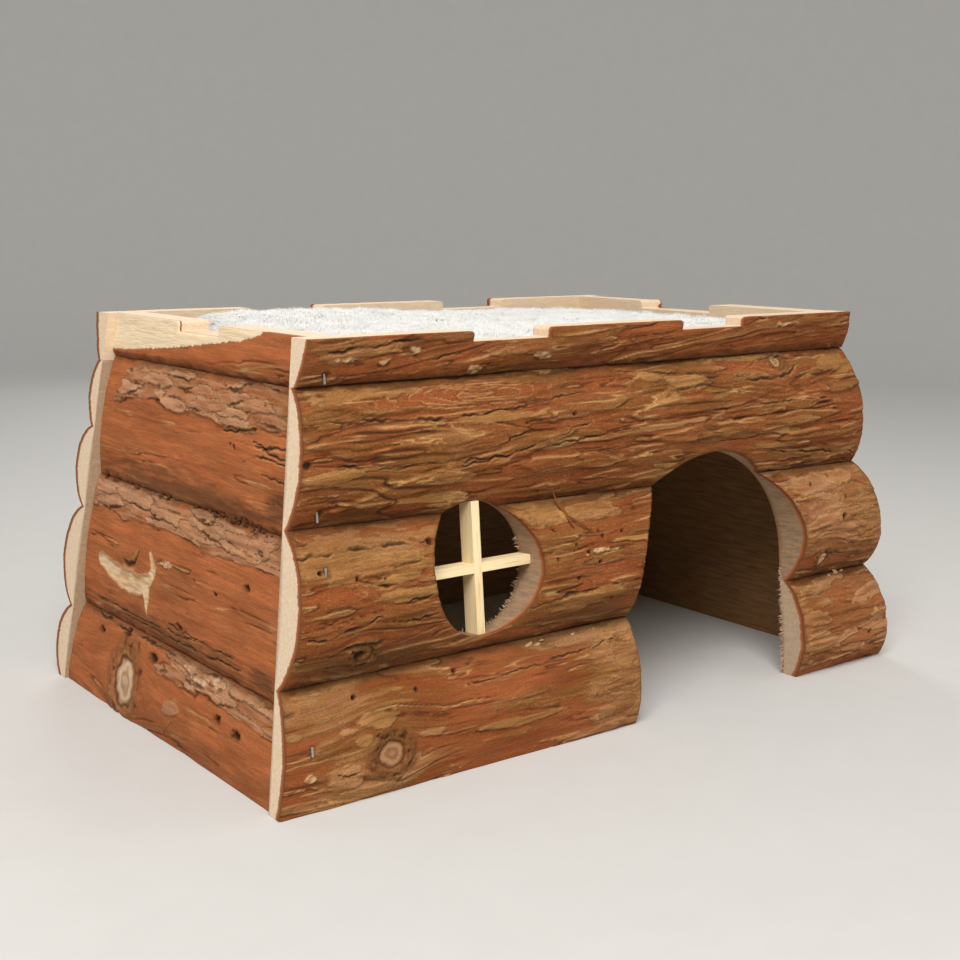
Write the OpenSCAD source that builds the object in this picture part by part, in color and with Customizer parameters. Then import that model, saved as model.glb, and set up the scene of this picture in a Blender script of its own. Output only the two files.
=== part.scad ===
// Guinea pig hideout: a small house of bark-faced log slabs with leaning walls, a
// round-arched doorway, a barred round window and a notched parapet round a plush roof bed.
// Millimetres. +Z is up, +X runs along the front to the right, +Y runs to the back,
// and the origin lies on the floor under the middle of the house.

/* [House] */
// Overall height
house_h = 200; // [190:1:215]
// Length of the front and back walls at the floor
wall_l_base = 400; // [380:1:430]
// Length of the front and back walls at the top
wall_l_top = 348; // [335:1:366]
// Clear depth between the front and back walls at the floor
room_d_base = 229; // [215:1:250]
// Clear depth between the front and back walls at the top
room_d_top = 192; // [182:1:206]
// Distance from the ends of the front and back walls to an end wall's inner face
end_inset = 20.5; // [20:0.5:24]

/* [Front wall] */
// Height up the wall of the joint over the lower slabs
front_joint_low = 53; // [46:1:58]
// Height up the wall of the joint over the middle slabs, at the left end
front_joint_mid_left = 120; // [112:1:122]
// Height up the wall of the joint over the middle slabs, at the right end
front_joint_mid_right = 114; // [108:1:120]
// Height of the parapet up the wall
front_parapet_h = 21; // [16:0.5:30]
// Crown thickness of the lower slabs at the left and right ends of the wall
front_lower_crown = [13, 18.5]; // [11:0.5:24]
// Crown thickness of the middle slabs at the left and right ends of the wall
front_middle_crown = [20.5, 21.5]; // [12:0.5:24]
// Crown thickness of the upper slab at its left and right ends
front_upper_crown = [15.5, 17.5]; // [12:0.5:24]

/* [Back wall] */
// Height up the wall of the joint over the lower slab
back_joint_low = 41; // [36:1:46]
// Height up the wall of the joint over the middle slab
back_joint_mid = 96; // [90:1:102]
// Height up the wall of the joint over the shoulder slab
back_joint_shoulder = 140; // [134:1:146]
// Height of the parapet up the wall
back_parapet_h = 25; // [18:0.5:30]
// Crown thickness of the lower slab at its left and right ends, seen from behind
back_lower_crown = [17, 18]; // [12:0.5:24]
// Crown thickness of the middle slab at its left and right ends, seen from behind
back_middle_crown = [20, 22.5]; // [12:0.5:24]
// Crown thickness of the shoulder slab at its left and right ends, seen from behind
back_shoulder_crown = [18, 20]; // [12:0.5:24]
// Crown thickness of the upper slab at its left and right ends, seen from behind
back_upper_crown = [14.5, 13.5]; // [12:0.5:24]

/* [End walls] */
// Height up the wall of the joint over the lower slab
end_joint_low = 41; // [36:1:46]
// Height up the wall of the joint over the middle slab
end_joint_mid = 113; // [106:1:120]
// Height of the parapet up the wall
end_parapet_h = 24.5; // [18:0.5:30]
// Crown thickness of the left wall's lower slab at its left and right ends
left_lower_crown = [18.5, 19]; // [18.5:0.5:23]
// Crown thickness of the left wall's middle slab at its left and right ends
left_middle_crown = [17.5, 18]; // [16:0.5:23]
// Crown thickness of the left wall's upper slab at its left and right ends
left_upper_crown = [17.5, 18]; // [16:0.5:23]
// Crown thickness of the right wall's lower slab at its left and right ends
right_lower_crown = [19, 18.5]; // [18.5:0.5:23]
// Crown thickness of the right wall's middle slab at its left and right ends
right_middle_crown = [18, 17.5]; // [16:0.5:23]
// Crown thickness of the right wall's upper slab at its left and right ends
right_upper_crown = [18, 17.5]; // [16:0.5:23]

/* [Bark ridges] */
// How far the main ridges of the front upper slab's bark stand out
ridge_h = 1.5; // [0.5:0.1:2]
// Share of a ridge's length over which it narrows to a point at either end
ridge_taper = 0.2; // [0.1:0.05:0.4]

/* [Slab edges] */
// Thickness of the front and back slabs along their glued edges
edge_t = 5.5; // [4:0.5:8]
// Thickness of the front and back walls at the floor
foot_t = 10; // [8:0.5:10.5]
// Thickness of the end wall slabs along their glued edges
end_edge_t = 14.5; // [13:0.5:15.5]
// Thickness of the end walls at the floor
end_foot_t = 19; // [17:0.5:20]

/* [Parapet] */
// Thickness of the front and back parapets along their glued edge
parapet_edge_t = 7.5; // [6:0.5:9]
// Thickness of the front and back parapets at the top
parapet_top_t = 16.5; // [13:0.5:19]
// Thickness of the end parapets along their glued edge, at the left and right ends
end_parapet_edge_t = [15, 13]; // [12:0.5:16]
// Thickness of the end parapets at the top before they are sawn, at the left and right ends
end_parapet_round_t = [22.5, 15.5]; // [14:0.5:25]
// Thickness to which the left and right parapets are sawn flat
end_parapet_saw_t = [16, 19]; // [14:0.5:20]
// How far the rounded face of a parapet stands out past a straight slope
parapet_bulge = 1; // [0.4:0.1:2]
// Depth of the notches
notch_d = 5; // [3:0.5:10]
// Rounding of the corners beside the notches
notch_r = 2; // [0.5:0.5:4]
// Width of the notches in the front and back parapets
notch_w = 46; // [30:1:60]
// Distance between the two notches of the front and back parapets
notch_pitch = 132; // [110:1:160]
// Width of the notches in the left and right parapets
end_notch_w = [41, 58]; // [25:1:60]
// Distance of the left and right notches' middles towards the back
end_notch_y = [0, 6.5]; // [-10:0.5:10]

/* [Doorway] */
// Width of the doorway
door_w = 122; // [100:1:130]
// Height of the doorway up the wall to the top of the arch
door_h = 131; // [122:1:145]
// Distance of the doorway's middle from the middle of the house
door_x = 65; // [50:1:80]

/* [Window] */
// Diameter of the window
window_d = 62; // [50:1:66]
// Distance of the window's middle from the middle of the house
window_x = -89.5; // [-100:0.5:-80]
// Height of the window's middle up the wall
window_s = 91.5; // [88:0.5:96]
// Width of the window bars seen from the front
bar_w = 4.4; // [3:0.2:8]
// Depth of the window bars through the wall
bar_t = 9.2; // [6:0.2:12]
// Glue gap at the ends and in the lap of the window bars
bar_gap = 0.05; // [0.02:0.01:0.1]

/* [Roof] */
// Depth of the roof bed's tray below the top of the parapet
tray_d = 26; // [20:1:32]
// Thickness of the roof panel
roof_t = 8; // [6:0.5:12]
// Gap between the roof panel or its battens and the walls
roof_fit = 0.1; // [0.05:0.05:0.3]
// Width and height of the battens under the roof panel
batten_w = 12; // [10:1:18]

/* [Plush bed] */
// Height of the bed at the middle of its crown
bed_h = 20; // [16:0.5:24]
// Height of the bed's side up to the turn of its top
bed_side_h = 15; // [8:0.5:15]
// Gap between the bed and the top of the parapet all round
bed_gap = 1; // [0.5:0.5:4]
// Rounding of the bed's upper and lower edges
bed_edge_r = 4; // [2:0.5:6]
// How far the sides of the bed pull in between its corners
bed_draw = 2.5; // [0:0.5:6]
// Gap under the bed
bed_seat = 0.3; // [0.2:0.1:0.5]

/* [Staples] */
// Length of a staple's crown
staple_crown = 4.5; // [4:0.5:6]
// Thickness of the staple wire
staple_wire = 1; // [0.8:0.1:1.2]
// Length of a wall staple's legs
staple_leg = 24; // [22:1:28]
// Length of a roof staple's legs
roof_staple_leg = 16; // [12:1:17]
// How far a staple's crown lies below the surface
staple_sink = 0.3; // [0.1:0.1:0.6]
// Gap round a staple in its slots
staple_fit = 0.05; // [0.02:0.01:0.1]
// Distance of the wall staples from the ends of the walls
staple_inset = 12.6; // [12.6:0.1:14]
// Height of the front parapet's staples above the joint under them
staple_lift = 2.8; // [2.6:0.1:4]
// Distance between the roof staples
roof_staple_pitch = 100; // [60:5:110]

/* [Hidden] */
$fn = 120;

// Colours of the materials
bark_red = [0.55, 0.30, 0.18];
bark_tan = [0.60, 0.40, 0.24];
pale_wood = [0.93, 0.83, 0.65];
plush_white = [0.96, 0.96, 0.95];
steel = [0.75, 0.76, 0.78];

// Lean of the long walls and of the ends, and the height up a leaning wall
wall_lean = atan((room_d_base - room_d_top) / 2 / house_h);
end_lean = atan((wall_l_base - wall_l_top) / 2 / house_h);
wall_s = house_h / cos(wall_lean);
end_s = house_h / cos(end_lean);

// Heights of the joints under the parapets
front_joint_top = wall_s - front_parapet_h;
back_joint_top = wall_s - back_parapet_h;
end_joint_top = end_s - end_parapet_h;

// Stock that is cut away: past the floor and the top, and through the walls
trim = 10;
stock_t = 40;
big = 2 * wall_l_base;
// Share by which a log runs past the ends of its slab
log_over = 0.2;

// Half length of a long wall at a height up the wall
function wall_half(s) = wall_l_base / 2 - s * (wall_l_base - wall_l_top) / 2 / wall_s;
// Half clear depth of the room and half clear length of the room at a level
function room_half_d(z) = room_d_base / 2 - z * (room_d_base - room_d_top) / 2 / house_h;
function room_half_l(z) = wall_l_base / 2 - end_inset - z * (wall_l_base - wall_l_top) / 2 / house_h;

// One end of a log: the round back of a slab goes through its thickness at the lower edge,
// at mid height and at the upper edge. Gives the arc's middle and its radius.
function arc_depth(h, t) =
    (2 * h * h + t[0] * t[0] + t[2] * t[2] - 2 * t[1] * t[1]) / (2 * (t[0] + t[2] - 2 * t[1]));
function arc_shift(h, t) = (t[0] - t[2]) * (2 * arc_depth(h, t) - t[0] - t[2]) / (4 * h);
function log_end(s0, s1, t) =
    let (h = (s1 - s0) / 2, u = arc_shift(h, t), v = arc_depth(h, t))
    [(s0 + s1) / 2 + u, v, norm([u, t[1] - v])];

// A log is its two ends. Thickness of its slab at x along the wall and s up the wall
function log_at(log, x, span) = log[0] + (log[1] - log[0]) * (x / span + 0.5);
function slab_t(log, x, s, span) =
    let (a = log_at(log, x, span))
    a[1] + sqrt(a[2] * a[2] - (s - a[0]) * (s - a[0]));

// Thickness through a plain slab, a slab on the floor and a parapet
function plain_t(edge, crown) = [edge, crown, edge];
function floor_t(foot, edge, crown) = [foot, crown, edge];
function parapet_t(edge, top) = [edge, (edge + top) / 2 + parapet_bulge, top];

// Logs of the front wall, from the floor up
front_logs = [
    [for (crown = front_lower_crown) log_end(0, front_joint_low, floor_t(foot_t, edge_t, crown))],
    [
        log_end(front_joint_low, front_joint_mid_left, plain_t(edge_t, front_middle_crown[0])),
        log_end(front_joint_low, front_joint_mid_right, plain_t(edge_t, front_middle_crown[1]))
    ],
    [
        log_end(front_joint_mid_left, front_joint_top, plain_t(edge_t, front_upper_crown[0])),
        log_end(front_joint_mid_right, front_joint_top, plain_t(edge_t, front_upper_crown[1]))
    ],
    [for (end = [0, 1]) log_end(front_joint_top, wall_s, parapet_t(parapet_edge_t, parapet_top_t))]
];

// Ridges of the front upper slab: x and height up the wall of the left end and of the right
// end, and the width
front_upper_ridges = [
    [-172, 170, -24, 173.5, 9],
    [-180, 155, -62, 152.5, 13],
    [-168, 126, -33, 150.5, 6.5],
    [-72, 137.5, 2, 133.5, 6],
    [-58, 158.5, 4, 163, 7.5],
    [2, 170, 64, 166.5, 7],
    [0, 154, 114, 161, 8],
    [56, 149.5, 152, 152.5, 5.5],
    [12, 141.5, 164, 145, 7.5],
    [76, 170.5, 180, 172, 9],
    [124, 162, 182, 160, 8],
    [112, 133, 184, 134.5, 8]
];

// Logs of the back wall, from the floor up
back_logs = [
    [for (crown = back_lower_crown) log_end(0, back_joint_low, floor_t(foot_t, edge_t, crown))],
    [for (crown = back_middle_crown) log_end(back_joint_low, back_joint_mid, plain_t(edge_t, crown))],
    [for (crown = back_shoulder_crown)
        log_end(back_joint_mid, back_joint_shoulder, plain_t(edge_t, crown))],
    [for (crown = back_upper_crown)
        log_end(back_joint_shoulder, back_joint_top, plain_t(edge_t, crown))],
    [for (end = [0, 1]) log_end(back_joint_top, wall_s, parapet_t(parapet_edge_t, parapet_top_t))]
];

// Logs of an end wall, from the floor up
function end_logs(lower, middle, upper) = [
    [for (crown = lower) log_end(0, end_joint_low, floor_t(end_foot_t, end_edge_t, crown))],
    [for (crown = middle) log_end(end_joint_low, end_joint_mid, plain_t(end_edge_t, crown))],
    [for (crown = upper) log_end(end_joint_mid, end_joint_top, plain_t(end_edge_t, crown))],
    [for (end = [0, 1])
        log_end(end_joint_top, end_s, parapet_t(end_parapet_edge_t[end], end_parapet_round_t[end]))]
];
left_logs = end_logs(left_lower_crown, left_middle_crown, left_upper_crown);
right_logs = end_logs(right_lower_crown, right_middle_crown, right_upper_crown);

// Each wall is drawn flat: x to the right seen from outside, z up the wall, bark towards -y
module front_frame() {
    translate([0, -room_d_base / 2, 0])
        rotate([-wall_lean, 0, 0])
            children();
}
module back_frame() {
    rotate([0, 0, 180])
        front_frame()
            children();
}
module left_frame() {
    translate([end_inset - wall_l_base / 2, 0, 0])
        rotate([0, 0, -90])
            rotate([-end_lean, 0, 0])
                children();
}
module right_frame() {
    rotate([0, 0, 180])
        left_frame()
            children();
}

// Space between the floor and the top of the house
module level_space() {
    translate([-big / 2, -big / 2, 0])
        cube([big, big, house_h]);
}

// Space between the inner faces of the long walls, less a gap
module between_long_walls(gap = 0) {
    base = room_d_base / 2 - gap;
    top = room_d_top / 2 - gap;
    rotate([90, 0, 90])
        linear_extrude(height = big, center = true)
            polygon([[-base, 0], [base, 0], [top, house_h], [-top, house_h]]);
}

// Space between the inner faces of the end walls, less a gap
module between_end_walls(gap = 0) {
    base = room_half_l(0) - gap;
    top = room_half_l(house_h) - gap;
    rotate([90, 0, 0])
        linear_extrude(height = big, center = true)
            polygon([[-base, 0], [base, 0], [top, house_h], [-top, house_h]]);
}

// Round log that runs along a wall and tapers from one end to the other. Where its axis leans
// out, it is fuller square to the axis, so that its crown runs true from end to end.
module round_log(log, span) {
    step = log[1] - log[0];
    a = log[0] - step * log_over;
    b = log[1] + step * log_over;
    reach = span * (0.5 + log_over);
    start = [-reach, -a[1], a[0]];
    run = [2 * reach, a[1] - b[1], b[0] - a[0]];
    axis_slope = step[1] / span;
    crown_slope = (step[1] + step[2]) / span;
    fuller = norm([1, axis_slope]) / (1 + axis_slope * crown_slope);
    translate(start)
        rotate([0, acos(run[2] / norm(run)), atan2(run[1], run[0])])
            cylinder(h = norm(run), r1 = fuller * a[2], r2 = fuller * b[2]);
}

// Outline of a slab as a board of a thickness, flat inside at y = 0
module board(outline, t) {
    rotate([90, 0, 0])
        linear_extrude(height = t)
            polygon(outline);
}

// Outline of a ridge: a long strip with pointed ends
function ridge_outline(ridge) =
    let (
        start = [ridge[0], ridge[1]],
        run = [ridge[2], ridge[3]] - start,
        side = [-run[1], run[0]] / norm(run) * ridge[4] / 2,
        near = start + ridge_taper * run,
        far = start + (1 - ridge_taper) * run
    )
    [start, near - side, far - side, start + run, far + side, near + side];

// Ridges of bark that stand out from a log
module bark_ridges(ridges, log, span) {
    intersection() {
        round_log([for (end = log) end + [0, 0, ridge_h]], span);
        union()
            for (ridge = ridges)
                board(ridge_outline(ridge), stock_t);
    }
}

// Slab sawn from a log: flat inside, round bark outside, cut to an outline. Its heart is full
// to the glued edges, also where a narrow slab is rounder than a half log.
module bark_slab(outline, log, span, ridges = []) {
    intersection() {
        board(outline, stock_t);
        union() {
            round_log(log, span);
            board(outline, edge_t / 2);
            if (len(ridges) > 0)
                bark_ridges(ridges, log, span);
        }
    }
}

// Outline of a slab of a long wall between the heights of its edges at the left and right ends
function wall_outline(low, high) = [
    [-wall_half(low[0]), low[0]],
    [wall_half(low[1]), low[1]],
    [wall_half(high[1]), high[1]],
    [-wall_half(high[0]), high[0]]
];

// Slab of a long wall in that wall's own frame
module wall_slab(log, low, high, ridges = []) {
    bark_slab(wall_outline(low, high), log, wall_l_base, ridges);
}

// Slab of an end wall in that wall's own frame, long enough to be cut between the long walls
module end_slab(log, low, high) {
    half = room_d_base / 2 + trim;
    bark_slab([[-half, low], [half, low], [half, high], [-half, high]], log, room_d_base);
}

// Notch in the top of a parapet, with rounded corners beside it, cut along Y
module notch(width) {
    translate([0, 0, house_h])
        rotate([90, 0, 0])
            linear_extrude(height = big, center = true) {
                translate([-width / 2, -notch_d])
                    square([width, notch_d + trim]);
                difference() {
                    translate([-width / 2 - notch_r, -notch_r])
                        square([width + 2 * notch_r, notch_r + trim]);
                    for (side = [-1, 1])
                        translate([side * (width / 2 + notch_r), -notch_r])
                            circle(r = notch_r);
                }
            }
}

// Notches of the front and back parapets
module long_notches() {
    for (side = [-1, 1])
        translate([side * notch_pitch / 2, 0, 0])
            notch(notch_w);
}

// Notch of the left or right parapet
module end_notch(end) {
    translate([0, end_notch_y[end], 0])
        rotate([0, 0, 90])
            notch(end_notch_w[end]);
}

// Doorway through the front wall, in that wall's own frame
module doorway() {
    spring = door_h - door_w / 2;
    translate([door_x, 0, 0])
        rotate([90, 0, 0])
            linear_extrude(height = 2 * stock_t, center = true) {
                translate([0, spring])
                    circle(d = door_w);
                translate([-door_w / 2, -trim])
                    square([door_w, spring + trim]);
            }
}

// Window bore through the front wall, in that wall's own frame
module window_bore(d = window_d) {
    translate([window_x, 0, window_s])
        rotate([90, 0, 0])
            cylinder(h = 2 * stock_t, d = d, center = true);
}

// Part of the front wall to the left or right of the doorway, in that wall's own frame
module beside_door(side) {
    translate([side < 0 ? door_x - big : door_x, -stock_t, -trim])
        cube([big, 2 * stock_t, house_h]);
}

// Heights up the wall of the staples, one for each slab from the floor up
front_staple_s = [
    front_joint_low / 2,
    front_joint_mid_left - 4 * staple_crown,
    front_joint_mid_left + staple_crown,
    front_joint_top + staple_lift
];
back_staple_s = [
    back_joint_low / 2,
    (back_joint_low + back_joint_mid) / 2,
    (back_joint_mid + back_joint_shoulder) / 2,
    (back_joint_shoulder + back_joint_top) / 2,
    back_joint_top + back_parapet_h / 2
];

// Depth of a staple's crown from the wall's inner face, where the bark is thinner
function staple_t(log, x, s) =
    min([for (end = [-1, 1]) slab_t(log, x, s + end * staple_crown / 2, wall_l_base)]) - staple_sink;

// Staple with its crown along z at y = 0 and its legs along +y. A slot for it has a gap all
// round and is open to the outside.
module staple(leg, gap = 0, open = 0) {
    w = staple_wire + 2 * gap;
    translate([-w / 2, -open, -staple_crown / 2 - gap])
        cube([w, open + staple_wire + gap, staple_crown + 2 * gap]);
    for (end = [-1, 1])
        translate([-w / 2, 0, end * (staple_crown - staple_wire) / 2 - w / 2])
            cube([w, leg + gap, w]);
}

// Row of staples at one end of a long wall, in that wall's own frame
module staple_row(logs, heights, side, gap = 0, open = 0) {
    for (i = [0 : len(heights) - 1]) {
        x = side * (wall_half(heights[i]) - staple_inset);
        translate([x, -staple_t(logs[i], x, heights[i]), heights[i]])
            staple(staple_leg, gap, open);
    }
}
module front_slots(side) {
    front_frame()
        staple_row(front_logs, front_staple_s, side, staple_fit, stock_t);
}
module back_slots(side) {
    back_frame()
        staple_row(back_logs, back_staple_s, side, staple_fit, stock_t);
}

// A front slab as it is cut: level at the floor and the top, with the slots of its staples
module front_slab(index, low, high, ridges = []) {
    difference() {
        intersection() {
            front_frame()
                wall_slab(front_logs[index], low, high, ridges);
            level_space();
        }
        for (side = [-1, 1])
            front_slots(side);
    }
}
module back_slab(index, low, high) {
    difference() {
        intersection() {
            back_frame()
                wall_slab(back_logs[index], [low, low], [high, high]);
            level_space();
        }
        for (side = [-1, 1])
            back_slots(side);
    }
}

// The end walls stand between the long walls, and the staples' legs run into them
module left_slab(index, low, high) {
    difference() {
        intersection() {
            left_frame()
                end_slab(left_logs[index], low, high);
            between_long_walls();
        }
        front_slots(-1);
        back_slots(1);
    }
}
module right_slab(index, low, high) {
    difference() {
        intersection() {
            right_frame()
                end_slab(right_logs[index], low, high);
            between_long_walls();
        }
        front_slots(1);
        back_slots(-1);
    }
}

// What the saw leaves of the left or right parapet, in the wall's own frame
module saw_space(end) {
    translate([-big / 2, -end_parapet_saw_t[end], 0])
        cube([big, end_parapet_saw_t[end], house_h + trim]);
}

module front_parapet() {
    color(bark_red)
        difference() {
            front_slab(3, [front_joint_top, front_joint_top], [wall_s + trim, wall_s + trim]);
            long_notches();
        }
}

module front_upper_slab() {
    color(bark_tan)
        difference() {
            front_slab(2, [front_joint_mid_left, front_joint_mid_right],
                [front_joint_top, front_joint_top], front_upper_ridges);
            front_frame() {
                doorway();
                window_bore();
            }
        }
}

// The two middle slabs and the two lower slabs are each one log, parted by the doorway
module middle_slabs() {
    front_slab(1, [front_joint_low, front_joint_low], [front_joint_mid_left, front_joint_mid_right]);
}
module lower_slabs() {
    front_slab(0, [-trim, -trim], [front_joint_low, front_joint_low]);
}

module front_window_slab() {
    color(bark_tan)
        difference() {
            middle_slabs();
            front_frame() {
                doorway();
                beside_door(1);
                window_bore();
            }
        }
}

module front_middle_slab_right() {
    color(bark_tan)
        difference() {
            middle_slabs();
            front_frame() {
                doorway();
                beside_door(-1);
            }
        }
}

module front_lower_slab_left() {
    color(bark_red)
        difference() {
            lower_slabs();
            front_frame() {
                doorway();
                beside_door(1);
            }
        }
}

module front_lower_slab_right() {
    color(bark_red)
        difference() {
            lower_slabs();
            front_frame() {
                doorway();
                beside_door(-1);
            }
        }
}

module back_parapet() {
    color(bark_red)
        difference() {
            back_slab(4, back_joint_top, wall_s + trim);
            long_notches();
        }
}

module back_upper_slab() {
    color(bark_tan)
        back_slab(3, back_joint_shoulder, back_joint_top);
}

module back_shoulder_slab() {
    color(bark_red)
        back_slab(2, back_joint_mid, back_joint_shoulder);
}

module back_middle_slab() {
    color(bark_tan)
        back_slab(1, back_joint_low, back_joint_mid);
}

module back_lower_slab() {
    color(bark_red)
        back_slab(0, -trim, back_joint_low);
}

module left_parapet() {
    color(pale_wood)
        difference() {
            intersection() {
                left_slab(3, end_joint_top, end_s + trim);
                left_frame()
                    saw_space(0);
            }
            end_notch(0);
        }
}

module left_upper_slab() {
    color(bark_red)
        left_slab(2, end_joint_mid, end_joint_top);
}

module left_middle_slab() {
    color(bark_red)
        left_slab(1, end_joint_low, end_joint_mid);
}

module left_lower_slab() {
    color(bark_red)
        left_slab(0, -trim, end_joint_low);
}

module right_parapet() {
    color(pale_wood)
        difference() {
            intersection() {
                right_slab(3, end_joint_top, end_s + trim);
                right_frame()
                    saw_space(1);
            }
            end_notch(1);
        }
}

module right_upper_slab() {
    color(bark_red)
        right_slab(2, end_joint_mid, end_joint_top);
}

module right_middle_slab() {
    color(bark_red)
        right_slab(1, end_joint_low, end_joint_mid);
}

module right_lower_slab() {
    color(bark_red)
        right_slab(0, -trim, end_joint_low);
}

// Window bar through the bore, flush with the wall's inner face, in the front wall's own frame.
// The two bars cross in a half lap: the upright keeps its front half, the level bar its back half.
module window_bar(turn) {
    lap = bar_w / 2 + bar_gap;
    lap_front = turn == 0 ? -bar_t / 2 - bar_gap : -bar_t - trim;
    lap_d = bar_t / 2 + trim;
    intersection() {
        translate([window_x, 0, window_s])
            rotate([0, turn, 0])
                difference() {
                    translate([-bar_w / 2, -bar_t, -window_d / 2])
                        cube([bar_w, bar_t, window_d]);
                    translate([-bar_w, lap_front, -lap])
                        cube([2 * bar_w, lap_d, 2 * lap]);
                }
        window_bore(window_d - 2 * bar_gap);
    }
}

module window_bar_upright() {
    color(pale_wood)
        front_frame()
            window_bar(0);
}

module window_bar_level() {
    color(pale_wood)
        front_frame()
            window_bar(90);
}

// Levels of the roof
roof_top = house_h - tray_d;
roof_bottom = roof_top - roof_t;

// Roof staples: crowns along x, sunk in the panel over the battens
module roof_staple_set(gap = 0, open = 0) {
    y = room_half_d(roof_bottom) - batten_w / 2;
    for (side = [-1, 1])
        for (i = [-1, 0, 1])
            translate([i * roof_staple_pitch, side * y, roof_top - staple_sink])
                rotate([-90, 0, 0])
                    rotate([0, 90, 0])
                        staple(roof_staple_leg, gap, open);
}

module roof_panel() {
    color(pale_wood)
        difference() {
            intersection() {
                translate([-big / 2, -big / 2, roof_bottom])
                    cube([big, big, roof_t]);
                between_long_walls(roof_fit);
                between_end_walls(roof_fit);
            }
            roof_staple_set(staple_fit, trim);
        }
}

// Batten glued along the inside of a long wall, under the roof panel
module roof_batten() {
    difference() {
        intersection() {
            front_frame()
                translate([-big / 2, 0, roof_bottom / cos(wall_lean) - batten_w])
                    cube([big, batten_w, 2 * batten_w]);
            translate([-big / 2, -big / 2, 0])
                cube([big, big, roof_bottom]);
            between_end_walls(roof_fit);
        }
        roof_staple_set(staple_fit, trim);
    }
}

module roof_batten_front() {
    color(pale_wood)
        roof_batten();
}

module roof_batten_back() {
    color(pale_wood)
        rotate([0, 0, 180])
            roof_batten();
}

// Plush bed: a stuffed pad with a crowned top, rounded edges and sides drawn in between
// its corners. Its plan is a rounded rectangle that clears the top of the parapet.
bed_l = 2 * (room_half_l(house_h) - bed_gap);
bed_w = room_d_top - 2 * bed_gap;
bed_z = roof_top + bed_seat;
// Points round the plan and the power that squares it off
bed_n = 56;
bed_square = 7;
// Rings up the side: share of the side's height and share of the edge rounding
bed_side_rings = [[0, 1], [0.12, 0.4], [0.35, 0.08], [0.65, 0], [0.88, 0.35], [1, 1]];
// Rings in over the top: share of the plan
bed_top_rings = [0.9, 0.78, 0.62, 0.42, 0.2];

function squared(c) = sign(c) * pow(abs(c), 2 / bed_square);
function bed_plan(k, inset) =
    let (
        a = bed_l / 2 - inset,
        b = bed_w / 2 - inset,
        turn = 360 * (k + 0.5) / bed_n,
        x = squared(cos(turn)),
        y = squared(sin(turn))
    )
    [x * (a - bed_draw * (1 - y * y)), y * (b - bed_draw * (1 - x * x))];
function bed_top_z(share) = bed_z + bed_side_h + (bed_h - bed_side_h) * (1 - pow(share, 3));
bed_points = concat(
    [for (ring = bed_side_rings, k = [0 : bed_n - 1])
        concat(bed_plan(k, ring[1] * bed_edge_r), bed_z + ring[0] * bed_side_h)],
    [for (share = bed_top_rings, k = [0 : bed_n - 1])
        concat(bed_plan(k, bed_edge_r) * share, bed_top_z(share))],
    [[0, 0, bed_z], [0, 0, bed_z + bed_h]]
);
bed_rings = len(bed_side_rings) + len(bed_top_rings);
bed_faces = concat(
    [for (r = [0 : bed_rings - 2], k = [0 : bed_n - 1])
        [r * bed_n + k, (r + 1) * bed_n + k, r * bed_n + (k + 1) % bed_n]],
    [for (r = [0 : bed_rings - 2], k = [0 : bed_n - 1])
        [(r + 1) * bed_n + k, (r + 1) * bed_n + (k + 1) % bed_n, r * bed_n + (k + 1) % bed_n]],
    [for (k = [0 : bed_n - 1]) [bed_rings * bed_n, k, (k + 1) % bed_n]],
    [for (k = [0 : bed_n - 1])
        [bed_rings * bed_n + 1, (bed_rings - 1) * bed_n + (k + 1) % bed_n, (bed_rings - 1) * bed_n + k]]
);

module plush_bed() {
    color(plush_white)
        polyhedron(points = bed_points, faces = bed_faces, convexity = 4);
}

module front_wall_staples() {
    color(steel)
        front_frame()
            for (side = [-1, 1])
                staple_row(front_logs, front_staple_s, side);
}

module back_wall_staples() {
    color(steel)
        back_frame()
            for (side = [-1, 1])
                staple_row(back_logs, back_staple_s, side);
}

module roof_staples() {
    color(steel)
        roof_staple_set();
}

front_parapet();
front_upper_slab();
front_window_slab();
front_middle_slab_right();
front_lower_slab_left();
front_lower_slab_right();
back_parapet();
back_upper_slab();
back_shoulder_slab();
back_middle_slab();
back_lower_slab();
left_parapet();
left_upper_slab();
left_middle_slab();
left_lower_slab();
right_parapet();
right_upper_slab();
right_middle_slab();
right_lower_slab();
window_bar_upright();
window_bar_level();
roof_panel();
roof_batten_front();
roof_batten_back();
plush_bed();
front_wall_staples();
back_wall_staples();
roof_staples();
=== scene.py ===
# Guinea pig hideout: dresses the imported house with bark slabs, sawn wood, staples and a plush bed.
# Wall coordinates are millimetres: x runs along a wall to the right as seen from outside, s up
# its slope, and t out from its inner face through the bark. Blender's objects are in metres.
import math

import bmesh
import bpy
import numpy as np
from mathutils import Matrix, Vector
from mathutils.bvhtree import BVHTree
from mathutils.geometry import delaunay_2d_cdt


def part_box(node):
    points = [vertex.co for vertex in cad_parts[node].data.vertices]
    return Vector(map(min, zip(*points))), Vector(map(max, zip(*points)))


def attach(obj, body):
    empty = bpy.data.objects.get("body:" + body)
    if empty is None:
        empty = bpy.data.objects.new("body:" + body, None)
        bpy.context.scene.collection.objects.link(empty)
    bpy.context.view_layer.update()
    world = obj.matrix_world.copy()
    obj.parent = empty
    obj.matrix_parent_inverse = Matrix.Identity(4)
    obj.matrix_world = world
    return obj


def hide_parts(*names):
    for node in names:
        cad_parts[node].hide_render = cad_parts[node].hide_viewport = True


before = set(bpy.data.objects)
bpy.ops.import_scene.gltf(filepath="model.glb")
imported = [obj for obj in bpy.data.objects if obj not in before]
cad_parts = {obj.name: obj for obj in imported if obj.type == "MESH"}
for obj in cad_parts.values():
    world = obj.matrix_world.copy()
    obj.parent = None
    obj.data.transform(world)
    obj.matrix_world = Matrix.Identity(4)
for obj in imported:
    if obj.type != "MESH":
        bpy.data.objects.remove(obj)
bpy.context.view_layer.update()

MM = 0.001
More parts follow.
